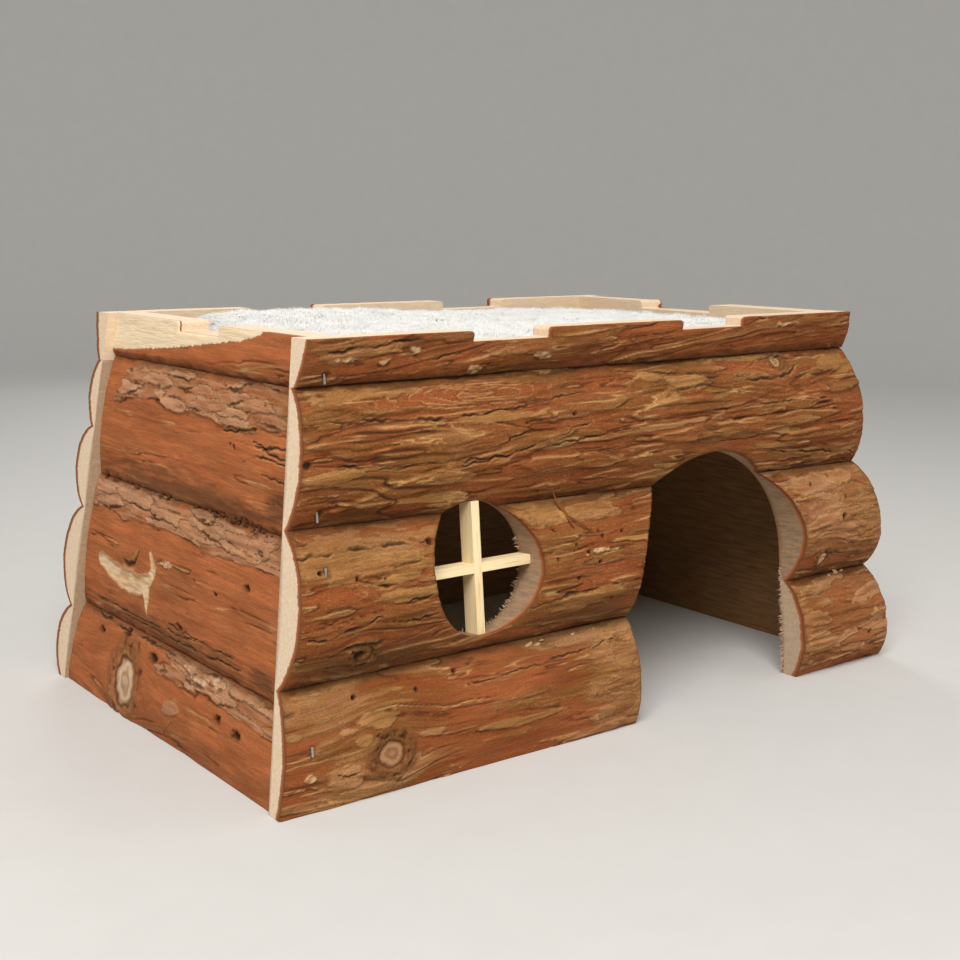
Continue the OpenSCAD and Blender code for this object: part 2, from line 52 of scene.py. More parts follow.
FAR = 1e6

# Sizes of the house, as packed
HOUSE_H = 200.0
WALL_L_BASE, WALL_L_TOP = 400.0, 348.0
ROOM_D_BASE, ROOM_D_TOP = 229.0, 192.0
END_INSET = 20.5
WALL_LEAN = math.atan((ROOM_D_BASE - ROOM_D_TOP) / 2 / HOUSE_H)
END_LEAN = math.atan((WALL_L_BASE - WALL_L_TOP) / 2 / HOUSE_H)
WALL_TOP = HOUSE_H / math.cos(WALL_LEAN)
END_TOP = HOUSE_H / math.cos(END_LEAN)

# Joints between the courses, up each wall
FRONT_LOW, FRONT_MID_LEFT, FRONT_MID_RIGHT, FRONT_PARAPET_H = 53.0, 120.0, 114.0, 21.0
BACK_LOW, BACK_MID, BACK_SHOULDER, BACK_PARAPET_H = 41.0, 96.0, 140.0, 25.0
END_LOW, END_MID, END_PARAPET_H = 41.0, 113.0, 24.5

# Openings
DOOR_X, DOOR_R, DOOR_SPRING = 65.0, 61.0, 70.0
WINDOW_X, WINDOW_S, WINDOW_R = -89.5, 91.5, 31.0
NOTCH_D, NOTCH_R, NOTCH_W, NOTCH_PITCH = 5.0, 2.0, 46.0, 132.0
LEFT_NOTCH_W, RIGHT_NOTCH_W, RIGHT_NOTCH_X = 41.0, 58.0, 6.5

# Main ridges of the front upper slab: x and s of the left end, then of the right end, and width
RIDGE_H, RIDGE_TAPER = 1.5, 0.2
FRONT_UPPER_RIDGES = (
    (-172, 170, -24, 173.5, 9), (-180, 155, -62, 152.5, 13), (-168, 126, -33, 150.5, 6.5),
    (-72, 137.5, 2, 133.5, 6), (-58, 158.5, 4, 163, 7.5), (2, 170, 64, 166.5, 7),
    (0, 154, 114, 161, 8), (56, 149.5, 152, 152.5, 5.5), (12, 141.5, 164, 145, 7.5),
    (76, 170.5, 180, 172, 9), (124, 162, 182, 160, 8), (112, 133, 184, 134.5, 8),
)

# Grid of the bark: fine on the photographed walls, coarser on the others
FINE_STEP, PLAIN_STEP = ((0.55, 0.8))
# Thickness of the bark layer over the wood, and how far its edge is rubbed round at a cut
RIM_T = 3.3
CUT_ROUND = 0.7
# Thicknesses at which the slabs' ends are measured: in the middle of one, and near its bark
MID_T, BARK_T = 10.0, 16.0
# Step for the slope of a pattern, and the flattest slope that counts
FIELD_STEP, FLATTEST = 0.25, 0.035

# Staples: length of a crown, distance from the wall's ends, height over the parapet's joint, how far
# the crown is sunk, how far the bark lies below it where it is bare and above it where it is covered
STAPLE_CROWN, STAPLE_INSET, STAPLE_LIFT = 4.5, 12.6, 2.8
STAPLE_SINK, STAPLE_BARE, STAPLE_COVER = 0.3, 0.45, 0.4
FRONT_STAPLES = (FRONT_LOW / 2, FRONT_MID_LEFT - 4 * STAPLE_CROWN, FRONT_MID_LEFT + STAPLE_CROWN,
                 WALL_TOP - FRONT_PARAPET_H + STAPLE_LIFT)
BACK_STAPLES = (BACK_LOW / 2, (BACK_LOW + BACK_MID) / 2, (BACK_MID + BACK_SHOULDER) / 2,
                (BACK_SHOULDER + WALL_TOP - BACK_PARAPET_H) / 2, WALL_TOP - BACK_PARAPET_H / 2)


def smooth(low, high, value):
    """Soft step from 0 at low to 1 at high; low may be above high."""
    k = np.clip((value - low) / (high - low), 0, 1)
    return k * k * (3 - 2 * k)


def peak(value, middle, width):
    """A soft peak of height 1."""
    return np.exp(-(((value - middle) / width) ** 2))


def oval(x, s, cx, cs, half_l, half_h):
    """0 in the middle of an oval, 1 on its outline."""
    return np.hypot((x - cx) / half_l, (s - cs) / half_h)


def lattice(ix, iy, seed):
    """A fixed random number from 0 to 1 for each lattice point."""
    n = (ix * 374761393 + iy * 668265263 + seed * 1442695041) & 0xFFFFFFFF
    n = ((n ^ (n >> 13)) * 1274126177) & 0xFFFFFFFF
    n = ((n ^ (n >> 15)) * 1597334677) & 0xFFFFFFFF
    return (n ^ (n >> 16)) / 0xFFFFFFFF


def noise(x, y, seed):
    """Gradient noise from about -1 to 1, with one feature to a unit."""
    ix, iy = np.floor(x).astype(np.int64), np.floor(y).astype(np.int64)
    fx, fy = x - ix, y - iy
    sx, sy = smooth(0, 1, fx), smooth(0, 1, fy)

    def corner(dx, dy):
        turn = math.tau * lattice(ix + dx, iy + dy, seed)
        return np.cos(turn) * (fx - dx) + np.sin(turn) * (fy - dy)

    low = corner(0, 0) * (1 - sx) + corner(1, 0) * sx
    high = corner(0, 1) * (1 - sx) + corner(1, 1) * sx
    return 1.5 * (low * (1 - sy) + high * sy)


def layered_noise(x, y, seed, octaves, halvings=9):
    """Noise with finer and weaker copies of itself, in y no finer than so many halvings."""
    return sum(noise(x * 2**k, y * 2 ** min(k, halvings), seed + 31 * k) * 0.5**k
               for k in range(octaves))


def cells(x, y, seed):
    """Plates like cracked bark: the gap between the two nearest middles, and a number for each plate."""
    ix, iy = np.floor(x).astype(np.int64), np.floor(y).astype(np.int64)
    near, next_near, mark = np.full(x.shape, 9.0), np.full(x.shape, 9.0), np.zeros(x.shape)
    for dx in (-1, 0, 1):
        for dy in (-1, 0, 1):
            cx, cy = ix + dx, iy + dy
            away = np.hypot(cx + lattice(cx, cy, seed) - x, cy + lattice(cx, cy, seed + 1) - y)
            closer = away < near
            next_near = np.where(closer, near, np.minimum(next_near, away))
            mark = np.where(closer, lattice(cx, cy, seed + 2), mark)
            near = np.minimum(near, away)
    return next_near - near, mark


def from_zero(field, x, v):
    """Signed distance in millimetres from the line where a pattern is zero, good near that line."""
    here = field(x, v)
    slope = np.hypot(field(x + FIELD_STEP, v) - here, field(x, v + FIELD_STEP) - here) / FIELD_STEP
    return here / np.maximum(slope, FLATTEST)


class Wall:
    """A leaning wall: its turn about Z from the front wall, how far out its inner face meets the floor,
    its lean, and the function for half its length."""

    def __init__(self, turn, foot, lean, half):
        turn = math.radians(turn)
        inward = np.array([-math.sin(turn), math.cos(turn), 0.0])
        self.lean, self.half = lean, half
        self.along = np.array([math.cos(turn), math.sin(turn), 0.0])
        self.up = inward * math.sin(lean) + np.array([0.0, 0.0, math.cos(lean)])
        self.out = -inward * math.cos(lean) + np.array([0.0, 0.0, math.sin(lean)])
        self.origin = -inward * foot

    def place(self, x, s, t):
        """Points of the wall in metres."""
        ways = zip((x, s, t), (self.along, self.up, self.out))
        return (self.origin + sum(np.asarray(a)[..., None] * way for a, way in ways)) * MM

    def level(self, s, t):
        """Height above the floor."""
        return s * math.cos(self.lean) + t * math.sin(self.lean)


def long_half(s, t):
    """Half length of a long wall, cut square to its face."""
    return WALL_L_BASE / 2 - s * (WALL_L_BASE - WALL_L_TOP) / 2 / WALL_TOP


def end_half(s, t):
    """Half width of an end wall, cut to the leaning inner faces of the long walls."""
    z = s * math.cos(END_LEAN) + t * math.sin(END_LEAN)
    return ROOM_D_BASE / 2 - z * (ROOM_D_BASE - ROOM_D_TOP) / 2 / HOUSE_H


END_FOOT = WALL_L_BASE / 2 - END_INSET
FRONT = Wall(0, ROOM_D_BASE / 2, WALL_LEAN, long_half)
BACK = Wall(180, ROOM_D_BASE / 2, WALL_LEAN, long_half)
LEFT = Wall(-90, END_FOOT, END_LEAN, end_half)
RIGHT = Wall(90, END_FOOT, END_LEAN, end_half)


# Openings: how far a point lies outside one, below zero inside it
def door_gap(x, s, z):
    """An arch on two straight jambs."""
    dx = np.abs(x - DOOR_X)
    return np.where(s > DOOR_SPRING, np.hypot(dx, s - DOOR_SPRING), dx) - DOOR_R


def window_gap(x, s, z):
    """A circle."""
    return np.hypot(x - WINDOW_X, s - WINDOW_S) - WINDOW_R


def notch_gap(middle, width):
    """A notch in a parapet's top, with its upper corners rounded."""
    def gap(x, s, z):
        side, depth = np.abs(x - middle) - width / 2, HOUSE_H - z
        straight = np.maximum(side, depth - NOTCH_D)
        corner = (side > 0) & (side < NOTCH_R) & (depth < NOTCH_R)
        rounded = NOTCH_R - np.hypot(side - NOTCH_R, depth - NOTCH_R)
        return np.where(corner, np.minimum(straight, rounded), straight)

    return gap


LONG_NOTCHES = [notch_gap(side * NOTCH_PITCH / 2, NOTCH_W) for side in (-1, 1)]
LEFT_NOTCHES = [notch_gap(0, LEFT_NOTCH_W)]
RIGHT_NOTCHES = [notch_gap(RIGHT_NOTCH_X, RIGHT_NOTCH_W)]


class Slab:
    """A bark slab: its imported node, its wall, its edges' heights at its two ends, and its looks."""

    def __init__(self, node, wall, low, high, look, ends=(None, None), cuts=(), step=FINE_STEP):
        self.node, self.wall, self.low, self.high = node, wall, low, high
        self.look, self.ends, self.cuts, self.step = look, ends, cuts, step
        self.on_floor = max(low) == 0
        self.parapet = node.endswith("parapet")
        self.sawn = self.parapet and wall in (LEFT, RIGHT)

    def end_x(self, side, s, t):
        """x of the left end (side -1) or the right one (side 1)."""
        fixed = self.ends[(side + 1) // 2]
        return side * self.wall.half(s, t) if fixed is None else np.full_like(s, fixed)

    def across(self, share, s, t):
        """x at a share of the way from the left end to the right one."""
        return self.end_x(-1, s, t) * (1 - share) + self.end_x(1, s, t) * share

    def gap(self, x, s, t):
        """Distance outside the nearest opening."""
        z = self.wall.level(s, t)
        return np.min([np.full(np.shape(x), FAR)] + [cut(x, s, z) for cut in self.cuts], axis=0)


def ridge_depth(ridge, x, s):
    """How far points lie inside a ridge, a strip with pointed ends, or below zero outside it."""
    x0, s0, x1, s1, width = ridge
    length = math.dist((x0, s0), (x1, s1))
    along = ((x - x0) * (x1 - x0) + (s - s0) * (s1 - s0)) / length
    across = np.abs((s - s0) * (x1 - x0) - (x - x0) * (s1 - s0)) / length
    point_l, half_w = RIDGE_TAPER * length, width / 2
    from_end = np.minimum(along, length - along)
    from_point = (from_end * half_w - across * point_l) / math.hypot(half_w, point_l)
    return np.minimum(half_w - across, from_point)


def deepest_ridge(ridges, x, s):
    """How far points lie inside the nearest ridge."""
    return np.max([np.full(np.shape(x), -FAR)] + [ridge_depth(ridge, x, s) for ridge in ridges], axis=0)


class BarkFace:
    """Smooth thickness of a packed slab, from rays cast at its bark and fitted by powers of x and s."""

    # Distance the rays start at, and how many are cast along x and s
    REACH, RAYS = 60.0, (61, 25)
    # How far the rays stay from the slab's edges and from the notched top of a parapet
    CLEAR, CLEAR_NOTCHES = 0.4, 3.0
    # Thinnest hit that counts, and how far off the fit one may lie
    THINNEST, OFF = 2.0, 0.4
    # Powers of x and s, for a slab and for a parapet
    POWERS = {False: (2, 8), True: (2, 2)}

    def __init__(self, slab):
        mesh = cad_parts[slab.node].data
        tree = BVHTree.FromPolygons([v.co for v in mesh.vertices], [p.vertices for p in mesh.polygons])
        s_low = -1.0 if slab.on_floor else min(slab.low) + self.CLEAR
        s_high = max(slab.high) - (self.CLEAR_NOTCHES if slab.parapet else self.CLEAR)
        middle = np.array((s_low + s_high) / 2)
        ends = [float(slab.end_x(side, middle, MID_T)) for side in (-1, 1)]
        self.x_mid, self.x_half = np.mean(ends), abs(ends[1] - ends[0]) / 2
        self.s_mid, self.s_half = (s_low + s_high) / 2, (s_high - s_low) / 2
        self.powers = self.POWERS[slab.parapet]
        cols, rows = np.linspace(*ends, self.RAYS[0])[1:-1], np.linspace(s_low, s_high, self.RAYS[1])
        x, s = (grid.ravel() for grid in np.meshgrid(cols, rows))
        inward = Vector(-slab.wall.out)
        hits = [tree.ray_cast(Vector(p), inward)[3]
                for p in slab.wall.place(x, s, np.full_like(x, self.REACH))]
        t = np.array([self.REACH - h / MM if h else -1.0 for h in hits])
        self.cap = t.max() if slab.sawn else np.inf
        good = (t > self.THINNEST) & (t < self.cap - 0.1)
        good &= deepest_ridge(slab.look.ridges, x, s) < -self.CLEAR
        for _ in range(3):
            self.weights = np.linalg.lstsq(self.terms(x[good], s[good]), t[good], rcond=None)[0]
            good &= np.abs(self.raw(x, s) - t) < self.OFF

    def terms(self, x, s):
        a, b = (x - self.x_mid) / self.x_half, (s - self.s_mid) / self.s_half
        px, ps = self.powers
        return np.stack([a**i * b**j for i in range(px + 1) for j in range(ps + 1)], -1)

    def raw(self, x, s):
        """Thickness of the log before its face is sawn."""
        return self.terms(np.asarray(x, float), np.asarray(s, float)) @ self.weights

    def __call__(self, x, s):
        return np.minimum(self.raw(x, s), self.cap)


def slab_grid(slab, face):
    """Grid of the bark face between the slab's edges, and which of its cells lie outside the openings."""
    s_mid = np.array((np.mean(slab.low) + np.mean(slab.high)) / 2)
    span = slab.end_x(1, s_mid, MID_T) - slab.end_x(-1, s_mid, MID_T)
    cols = int(span / slab.step) + 1
    rows = int((max(slab.high) - min(slab.low)) / slab.step) + 1
    u, v = np.linspace(0, 1, cols), np.linspace(0, 1, rows)
    edges = []
    for heights, is_level in ((slab.low, slab.on_floor), (slab.high, slab.parapet)):
        inner = np.interp(u, (0, 1), heights)
        edge = inner
        for _ in range(4 if is_level else 0):
            edge = inner - face(slab.across(u, edge, MID_T), edge) * math.tan(slab.wall.lean)
        edges.append(edge)
    s = edges[0] + (edges[1] - edges[0]) * v[:, None]
    x = slab.across(u, s, BARK_T)
    keep = np.ones((rows - 1, cols - 1), bool)
    if slab.cuts:
        gap = slab.gap(x, s, face(x, s))
        sides = gap[:, 1:] + gap[:, :-1]
        keep = sides[1:] + sides[:-1] > 0
        keep[0] &= sides[0] > 0
        keep[-1] &= sides[-1] > 0
        keep = without_pinches(keep)
        snap_to_openings(slab, face, x, s, keep, edges)
    return x, s, keep, edges


def without_pinches(keep):
    """Drops cells that touch another only at a corner."""
    keep = keep.copy()
    a, b, c, d = keep[:-1, :-1], keep[:-1, 1:], keep[1:, :-1], keep[1:, 1:]
    rising, falling = a & d & ~b & ~c, b & c & ~a & ~d
    a[rising] = False
    b[falling] = False
    return keep


def corner_count(keep):
    """How many kept cells meet at each grid point."""
    pad = np.pad(keep, 1).astype(int)
    return pad[1:, 1:] + pad[:-1, 1:] + pad[1:, :-1] + pad[:-1, :-1]


def snap_to_openings(slab, face, x, s, keep, edges):
    """Moves the grid points along a cut onto the opening's edge, short of the slab's own edges."""
    whole = corner_count(np.ones_like(keep))
    count = corner_count(keep)
    border = (count > 0) & (count < whole)
    on_edge = np.zeros_like(border)
    on_edge[[0, -1]] = True
    free = border & ~on_edge
    small, margin, flattest = 0.05, 0.15, 0.2
    lowest, highest = edges[0] + margin, edges[1] - margin
    lowest, highest = (np.broadcast_to(edge, s.shape)[border] for edge in (lowest, highest))
    for _ in range(6):
        bx, bs = x[border], s[border]
        t = face(bx, bs)
        gap = slab.gap(bx, bs, t)
        gx = (slab.gap(bx + small, bs, t) - gap) / small
        gs = (slab.gap(bx, bs + small, t) - gap) / small
        inner = free[border]
        size = np.maximum(np.where(inner, gx * gx + gs * gs, gx * gx), flattest)
        x[border] -= gap * gx / size
        s[border] = np.where(inner, np.clip(bs - gap * gs / size, lowest, highest), bs)


def rim_edges(keep, index):
    """Border edges of the kept cells, each with the slab on its left."""
    pad = np.pad(keep, 1)
    core = pad[1:-1, 1:-1]
    a, b, c, d = index[:-1, :-1], index[:-1, 1:], index[1:, 1:], index[1:, :-1]
    sides = ((a, b, pad[:-2, 1:-1]), (b, c, pad[1:-1, 2:]),
             (c, d, pad[2:, 1:-1]), (d, a, pad[1:-1, :-2]))
    return {int(p): int(q) for start, end, beyond in sides
            for p, q in zip(start[core & ~beyond], end[core & ~beyond])}


def rim_loops(following):
    """Border edges joined into closed loops of points."""
    loops = []
    while following:
        first, point = following.popitem()
        loop = [first]
        while point != first:
            loop.append(point)
            point = following.pop(point)
        loops.append(np.array(loop))
    return loops


def path_distance(x, s, path):
    """Distance to a given line, and how far along it the nearest point lies, from 0 to 1."""
    best, where = np.full(x.shape, FAR), np.zeros(x.shape)
    lengths = [math.dist(p, q) for p, q in zip(path, path[1:])]
    done = 0.0
    for (x0, s0), (x1, s1), length in zip(path, path[1:], lengths):
        k = np.clip(((x - x0) * (x1 - x0) + (s - s0) * (s1 - s0)) / length**2, 0, 1)
        away = np.hypot(x - x0 - k * (x1 - x0), s - s0 - k * (s1 - s0))
        where = np.where(away < best, (done + k * length) / sum(lengths), where)
        best = np.minimum(best, away)
        done += length
    return best, where


class Look:
    """How a slab's bark looks: the numbers of its pattern, and the marks on it. A row of marks is a kind
    and then the numbers of each mark of that kind, in the order in which they are laid on."""

    def __init__(self, seed, tilt=0.0, wave=1.0, band=9.0, swell=1.0, sheets=3, relief=1.0, cracks=0.0,
                 tan=0.0, warm=0.0, ridges=(), flakes=(), marks=()):
        self.seed, self.tilt, self.wave, self.band, self.swell = seed, tilt, wave, band, swell
        self.sheets, self.relief, self.cracks, self.tan = sheets, relief, cracks, tan
        self.warm, self.ridges, self.flakes = warm, ridges, flakes
        self.marks = [(kind, *mark) for kind, *row in marks for mark in row]


def grain_height(look, x, s):
    """Height across the grain, which wanders along the slab and parts round its knots."""
    wander = 2.6 * noise(x / 85, s / 30, look.seed) + 1.0 * noise(x / 27, s / 9, look.seed + 1)
    v = s - look.tilt * x + look.wave * wander
    for kind, *mark in look.marks:
        if kind == "knot":
            kx, ks, r = mark[:3]
            v = v - (s - ks) * 0.75 * np.exp(-(((x - kx) / (2.6 * r)) ** 2) - ((s - ks) / (2.1 * r)) ** 2)
    return v


# Sheets of bark over the red inner bark, from the lowest: how much it covers, and how weathered it is
SHEETS = ((0.30, 0.22), (-0.02, 0.5), (-0.36, 0.88))
SHEET_T = 0.65


def blend(f, name, share, value):
    """Lays a value over a mask."""
    f[name] = f[name] * (1 - share) + share * value


def at_least(f, name, value):
    """Raises a mask to a value where it lies below it."""
    f[name] = np.maximum(f[name], value)


def add_sheets(look, x, v, f, lift, crack):
    """Torn sheets of bark, one over another, each with a pale broken edge that is partly a painted
    highlight, and a painted shadow under it.
    """
    for k, (cover, age) in enumerate(SHEETS[:look.sheets]):
        seed = look.seed + 100 + 9 * k

        def sheet(x, v):
            return layered_noise(x / (105 - 14 * k), v / (8.5 - 1.0 * k), seed, 5, 2) + cover + look.tan

        edge = from_zero(sheet, x, v)
        there = smooth(-0.3, 0.3, edge)
        blend(f, "outer", there, age + 0.25 * noise(x / 38, v / 3.0, seed + 5))
        torn = smooth(-0.05, 0.4, noise(x / 30, v / 6, seed + 6))
        f["lip"] = f["lip"] * (1 - there) + torn * peak(edge, 0.4, 0.38)
        # Painted shadow along the foot of each sheet's edge, laid into the crack mask
        under = 0.7 * smooth(0.05, -0.4, noise(x / 36, v / 7, seed + 7))
        crack = np.maximum(crack * (1 - there), under * peak(edge, -0.45, 0.36))
        lift = lift + SHEET_T * look.relief * (there - 0.5)
    return lift, crack


def add_fissures(look, x, v, crack):
    """Long cracks along the grain, and shorter finer ones between them."""
    for reach, pitch, width, strength, seed in ((70, 6.5, 0.42, 0.85, 7), (30, 3.4, 0.3, 0.6, 10)):
        def split(x, v):
            return noise(x / reach, v / pitch, look.seed + seed)

        away = np.abs(from_zero(split, x, v))
        spread = noise(x / (1.3 * reach), v / (3 * pitch), look.seed + seed + 1)
        where = smooth(0.02, 0.55, spread + look.cracks)
        open_w = width * (0.5 + where) * (1 + 0.5 * noise(x / 11, v / 3, look.seed + seed + 2))
        crack = np.maximum(crack, strength * where * peak(away, 0, np.maximum(open_w, 0.1)))
    return crack


def add_ridges(look, x, s, v, f, lift, crack):
    """The main ridges, as packed, with ragged edges, broken pale lips that are partly a painted
    highlight, and painted shadows along them.
    """
    raised = np.zeros(x.shape)
    for k, ridge in enumerate(look.ridges):
        seed = look.seed + 200 + 7 * k
        inside = ridge_depth(ridge, x, s) + 1.0 * layered_noise(x / 15, s / 4, seed, 3)
        there = smooth(-0.8, 0.8, inside)
        blend(f, "outer", 0.6 * there, 0.45 + 0.4 * noise(x / 40, v / 3.5, seed + 3))
        torn = smooth(-0.1, 0.3, noise(x / 24, v / 6, seed + 4))
        at_least(f, "lip", 0.85 * torn * peak(inside, 0.4, 0.45))
        # Painted shadow just outside the ridge's edge, laid into the crack mask
        shade = smooth(0.0, 0.4, noise(x / 30, v / 6, seed + 5))
        crack = np.maximum(crack * (1 - 0.6 * there), 0.7 * shade * peak(inside, -0.8, 0.4))
        raised = np.maximum(raised, there)
    return lift + RIDGE_H * raised, crack


def add_swirl(look, x, v, f, lift, crack, *place):
    """Thin pale lines in a long oval swirl, where the log is rubbed down through its layers; the lines
    are partly a painted highlight, with a painted shadow beside each.
    """
    ragged = 0.3 * layered_noise(x / 26, v / 4, look.seed + 18, 3, 1)
    patch = smooth(1.15, 0.85, oval(x, v, *place) + ragged)

    def rings(x, v):
        wavy = 0.22 * noise(x / 24, v / 4, look.seed + 17) + 0.07 * noise(x / 7, v / 2, look.seed + 19)
        return np.sin(math.tau * 2.1 * (oval(x, v, *place) + wavy))

    shown = 0.25 + 0.75 * smooth(-0.5, 0.1, noise(x / 30, v / 4, look.seed + 20))
    away = from_zero(rings, x, v)
    # Pale ring lines, partly a painted highlight, and a painted shadow just beside each in the crack mask
    line = patch * shown * peak(away, 0, 0.32)
    crack = np.maximum(crack * (1 - 0.9 * patch), 0.45 * patch * shown * peak(away, -0.6, 0.3))
    blend(f, "outer", patch, 0.16 + 0.15 * noise(x / 30, v / 2, look.seed + 21))
    f["lip"] = np.maximum(f["lip"] * (1 - patch), 0.85 * line)
    return lift * (1 - 0.5 * patch) + 0.25 * line, crack


def bark(look, x, s, groove):
    """Relief of the bark in millimetres, and masks for its paint. groove is how far a glued edge is."""
    seed = look.seed
    v = grain_height(look, x, s)
    f = {
        "v": v,
        "rough": np.full(x.shape, look.relief),
        "lip": np.zeros(x.shape),
        "outer": 0.12 + 0.25 * noise(x / 45, v / 3.2, seed + 6),
        "warm": look.warm + 0.35 * layered_noise(x / 55, v / 16, seed + 9, 3),
        "bare": np.zeros(x.shape),
        "dirt": 0.3 * smooth(0.0, 0.9, layered_noise(x / 60, v / 10, seed + 16, 3)),
    }
    lift = 1.1 * look.swell * look.relief * layered_noise(x / 75, v / look.band, seed + 2, 3)
    lift, crack = add_sheets(look, x, v, f, lift, np.zeros(x.shape))
    lift, crack = add_ridges(look, x, s, v, f, lift, crack)
    crack = add_fissures(look, x, v, crack)
    fine = 0.22 * noise(x / 21, v / 1.7, seed + 12) + 0.12 * noise(x / 7, v / 1.2, seed + 13)
    lift = lift + look.relief * fine
    for kind, *mark in look.marks:
        if kind == "swirl":
            lift, crack = add_swirl(look, x, v, f, lift, crack, *mark)
    for patch in look.flakes:
        lift, crack = add_flakes(seed + 40, x, s, v, f, lift, crack, patch)
    for kind, *mark in look.marks:
        if kind in MARKS:
            lift, crack = MARKS[kind](x, s, v, f, lift, crack, seed, *mark)
    ragged = groove + 1.2 * noise(x / 9, s / 4, seed + 14) + 0.6 * noise(x / 3, s / 2, seed + 15)
    lift = lift - 1.6 * np.exp(-np.maximum(ragged, 0) / 1.6)
    # Darker towards each glued edge: dirt, and painted shade down in the groove
    at_least(f, "dirt", 0.9 * smooth(4.5, 0.3, ragged))
    # The crack mask holds the cracks, and also the painted shadows under the sheets, ridges, plates,
    # flakes and flecks and beside the swirl's lines
    f["crack"] = np.clip(crack, 0, 1)
    f["lip"] = f["lip"] * (1 - f["crack"])
    f["lift"] = np.clip(lift - 1.0 * (0.4 + 0.6 * look.relief) * f["crack"], -3.0, 2.6)
    return f


def add_flakes(seed, x, s, v, f, lift, crack, patch):
    """Cracked plates of old outer bark over a ragged stretch of the slab. A patch is the stretch's two
    ends, its middle and half its height, a plate's length, height and rise, how far the cracks open,
    and how tan the plates are."""
    x_low, x_high, s_mid, s_half, plate_l, plate_h, rise, open_share, tan = patch
    past = np.maximum(np.abs(s - s_mid) / s_half, np.maximum(x_low - x, x - x_high) / 30 + 0.8)
    past = past + 0.45 * layered_noise(x / 38, v / 9, seed, 3)
    past = past + 0.15 * layered_noise(x / 9, v / 3, seed + 2, 2)
    band = smooth(1.08, 0.92, past)

    def plates(x, v):
        along = x / plate_l + 0.3 * noise(x / 17, v / 5, seed + 1)
        across = v / plate_h + 0.35 * noise(x / 19, v / 6, seed + 4)
        along = along + 0.1 * noise(x / 4, v / 2, seed + 3)
        across = across + 0.12 * noise(x / 4, v / 2, seed + 5)
        return cells(along, across, seed + 6)

    gap, mark = plates(x, v)
    slope_x = (plates(x + FIELD_STEP, v)[0] - gap) / FIELD_STEP
    slope_v = (plates(x, v + FIELD_STEP)[0] - gap) / FIELD_STEP
    slope = np.maximum(np.hypot(slope_x, slope_v), FLATTEST)
    away = gap / slope
    with_grain = 0.6 + 0.4 * smooth(0.4, 0.95, np.abs(slope_v) / slope)
    wide = smooth(-0.1, 0.9, noise(x / 18, v / 5, seed + 9))
    open_w = 0.1 + 0.75 * wide
    split = band * with_grain * (0.65 + 0.35 * wide) * smooth(open_w + 0.4, open_w, away)
    # A painted shadow along the stretch's lower edge, under the plates
    torn = smooth(-0.2, 0.3, noise(x / 20, v / 6, seed + 12))
    under = (s < s_mid) * torn * peak(past, 1.06, 0.07)
    blend(f, "outer", band, tan + 0.4 * mark + 0.3 * noise(x / 13, v / 2.2, seed + 10))
    f["lip"] = f["lip"] * (1 - band) + 0.6 * band * mark * peak(away - open_w, 0.7, 0.4)
    blend(f, "rough", band, 0.7)
    height = rise * (0.15 + mark + 0.25 * noise(x / 12, v / 3, seed + 11))
    crack = np.maximum(crack * (1 - band), open_share * np.maximum(split, 0.8 * under))
    return lift + band * height, crack


def mark_crack(x, s, v, f, lift, crack, seed, path, width):
    """A crack along a given line, finer towards its ends."""
    wander = 1.1 * noise(x / 9, s / 6, seed + 50) + 0.6 * noise(x / 3.2, s / 4, seed + 51)
    away, where = path_distance(x, s + wander, path)
    broken = 0.3 + 0.7 * smooth(-0.35, 0.15, noise(x / 12, s / 9, seed + 52))
    taper = 0.35 + 0.65 * np.sqrt(np.clip(4 * where * (1 - where), 0, 1))
    narrow = width * taper * (0.5 + 0.5 * broken)
    line = broken * peak(away, 0, narrow)
    at_least(f, "lip", 0.6 * broken * peak(away, 1.6 * narrow, 0.7 * narrow))
    return lift - 0.5 * line, np.maximum(crack, line)


def blob(x, s, seed, *place):
    """Mask of a ragged oval."""
    return smooth(1.12, 0.9, oval(x, s, *place) + 1.1 * layered_noise(x / 9, s / 4, seed + 60, 3))


def mark_plate(x, s, v, f, lift, crack, seed, cx, cs, half_l, half_h, tan):
    """A plate of bark torn along the grain: tan above 0, bare red below 0, standing up or sunk in, with a
    painted shadow under it.
    """
    ragged = 0.5 * layered_noise(x / 22, v / 3.5, seed + 60, 4, 1)
    q = oval(x, s, cx, cs, half_l, half_h) + ragged
    m = smooth(1.08, 0.92, q)
    torn = smooth(-0.2, 0.3, noise(x / 14, v / 5, seed + 66))
    under = (s < cs) * torn * peak(q, 1.12, 0.07)
    blend(f, "outer", 0.8 * m, max(tan, 0.1))
    f["lip"] = np.maximum(f["lip"] * (1 - 0.6 * m), 0.55 * torn * peak(q, 1.0, 0.07))
    return lift + 0.6 * tan * m, np.maximum(crack * (1 - 0.7 * m), 0.4 * under)


def mark_dry(x, s, v, f, lift, crack, seed, cx, cs, half_l, half_h, tan):
    """A stretch where thin weathered bark still covers the red, with a broken edge."""
    ragged = 0.5 * layered_noise(x / 24, v / 4, seed + 70, 4, 1)
    m = smooth(1.2, 0.6, oval(x, s, cx, cs, half_l, half_h) + ragged)
    blend(f, "outer", m, tan + 0.3 * noise(x / 16, v / 2.2, seed + 72))
    at_least(f, "rough", 0.95 * m)
    return lift + 0.25 * m, crack


def mark_fleck(x, s, v, f, lift, crack, seed, cx, cs, half_l, half_h):
    """A small pale tuft of torn fibres, with a painted shadow under it."""
    m = blob(x, s, seed, cx, cs, half_l, half_h)
    under = blob(x, s, seed + 1, cx - 0.4, cs - 0.7 * half_h, half_l, half_h) * (1 - m)
    streak = smooth(-0.3, 0.4, noise(x / 3.2, s / 1.2, seed + 67))
    blend(f, "outer", m, 1.0)
    at_least(f, "bare", m * 0.4 * streak)
    crack = np.maximum(crack * (1 - m), 0.5 * under)
    return lift * (1 - 0.6 * m) + (0.2 + 0.4 * streak) * m, crack


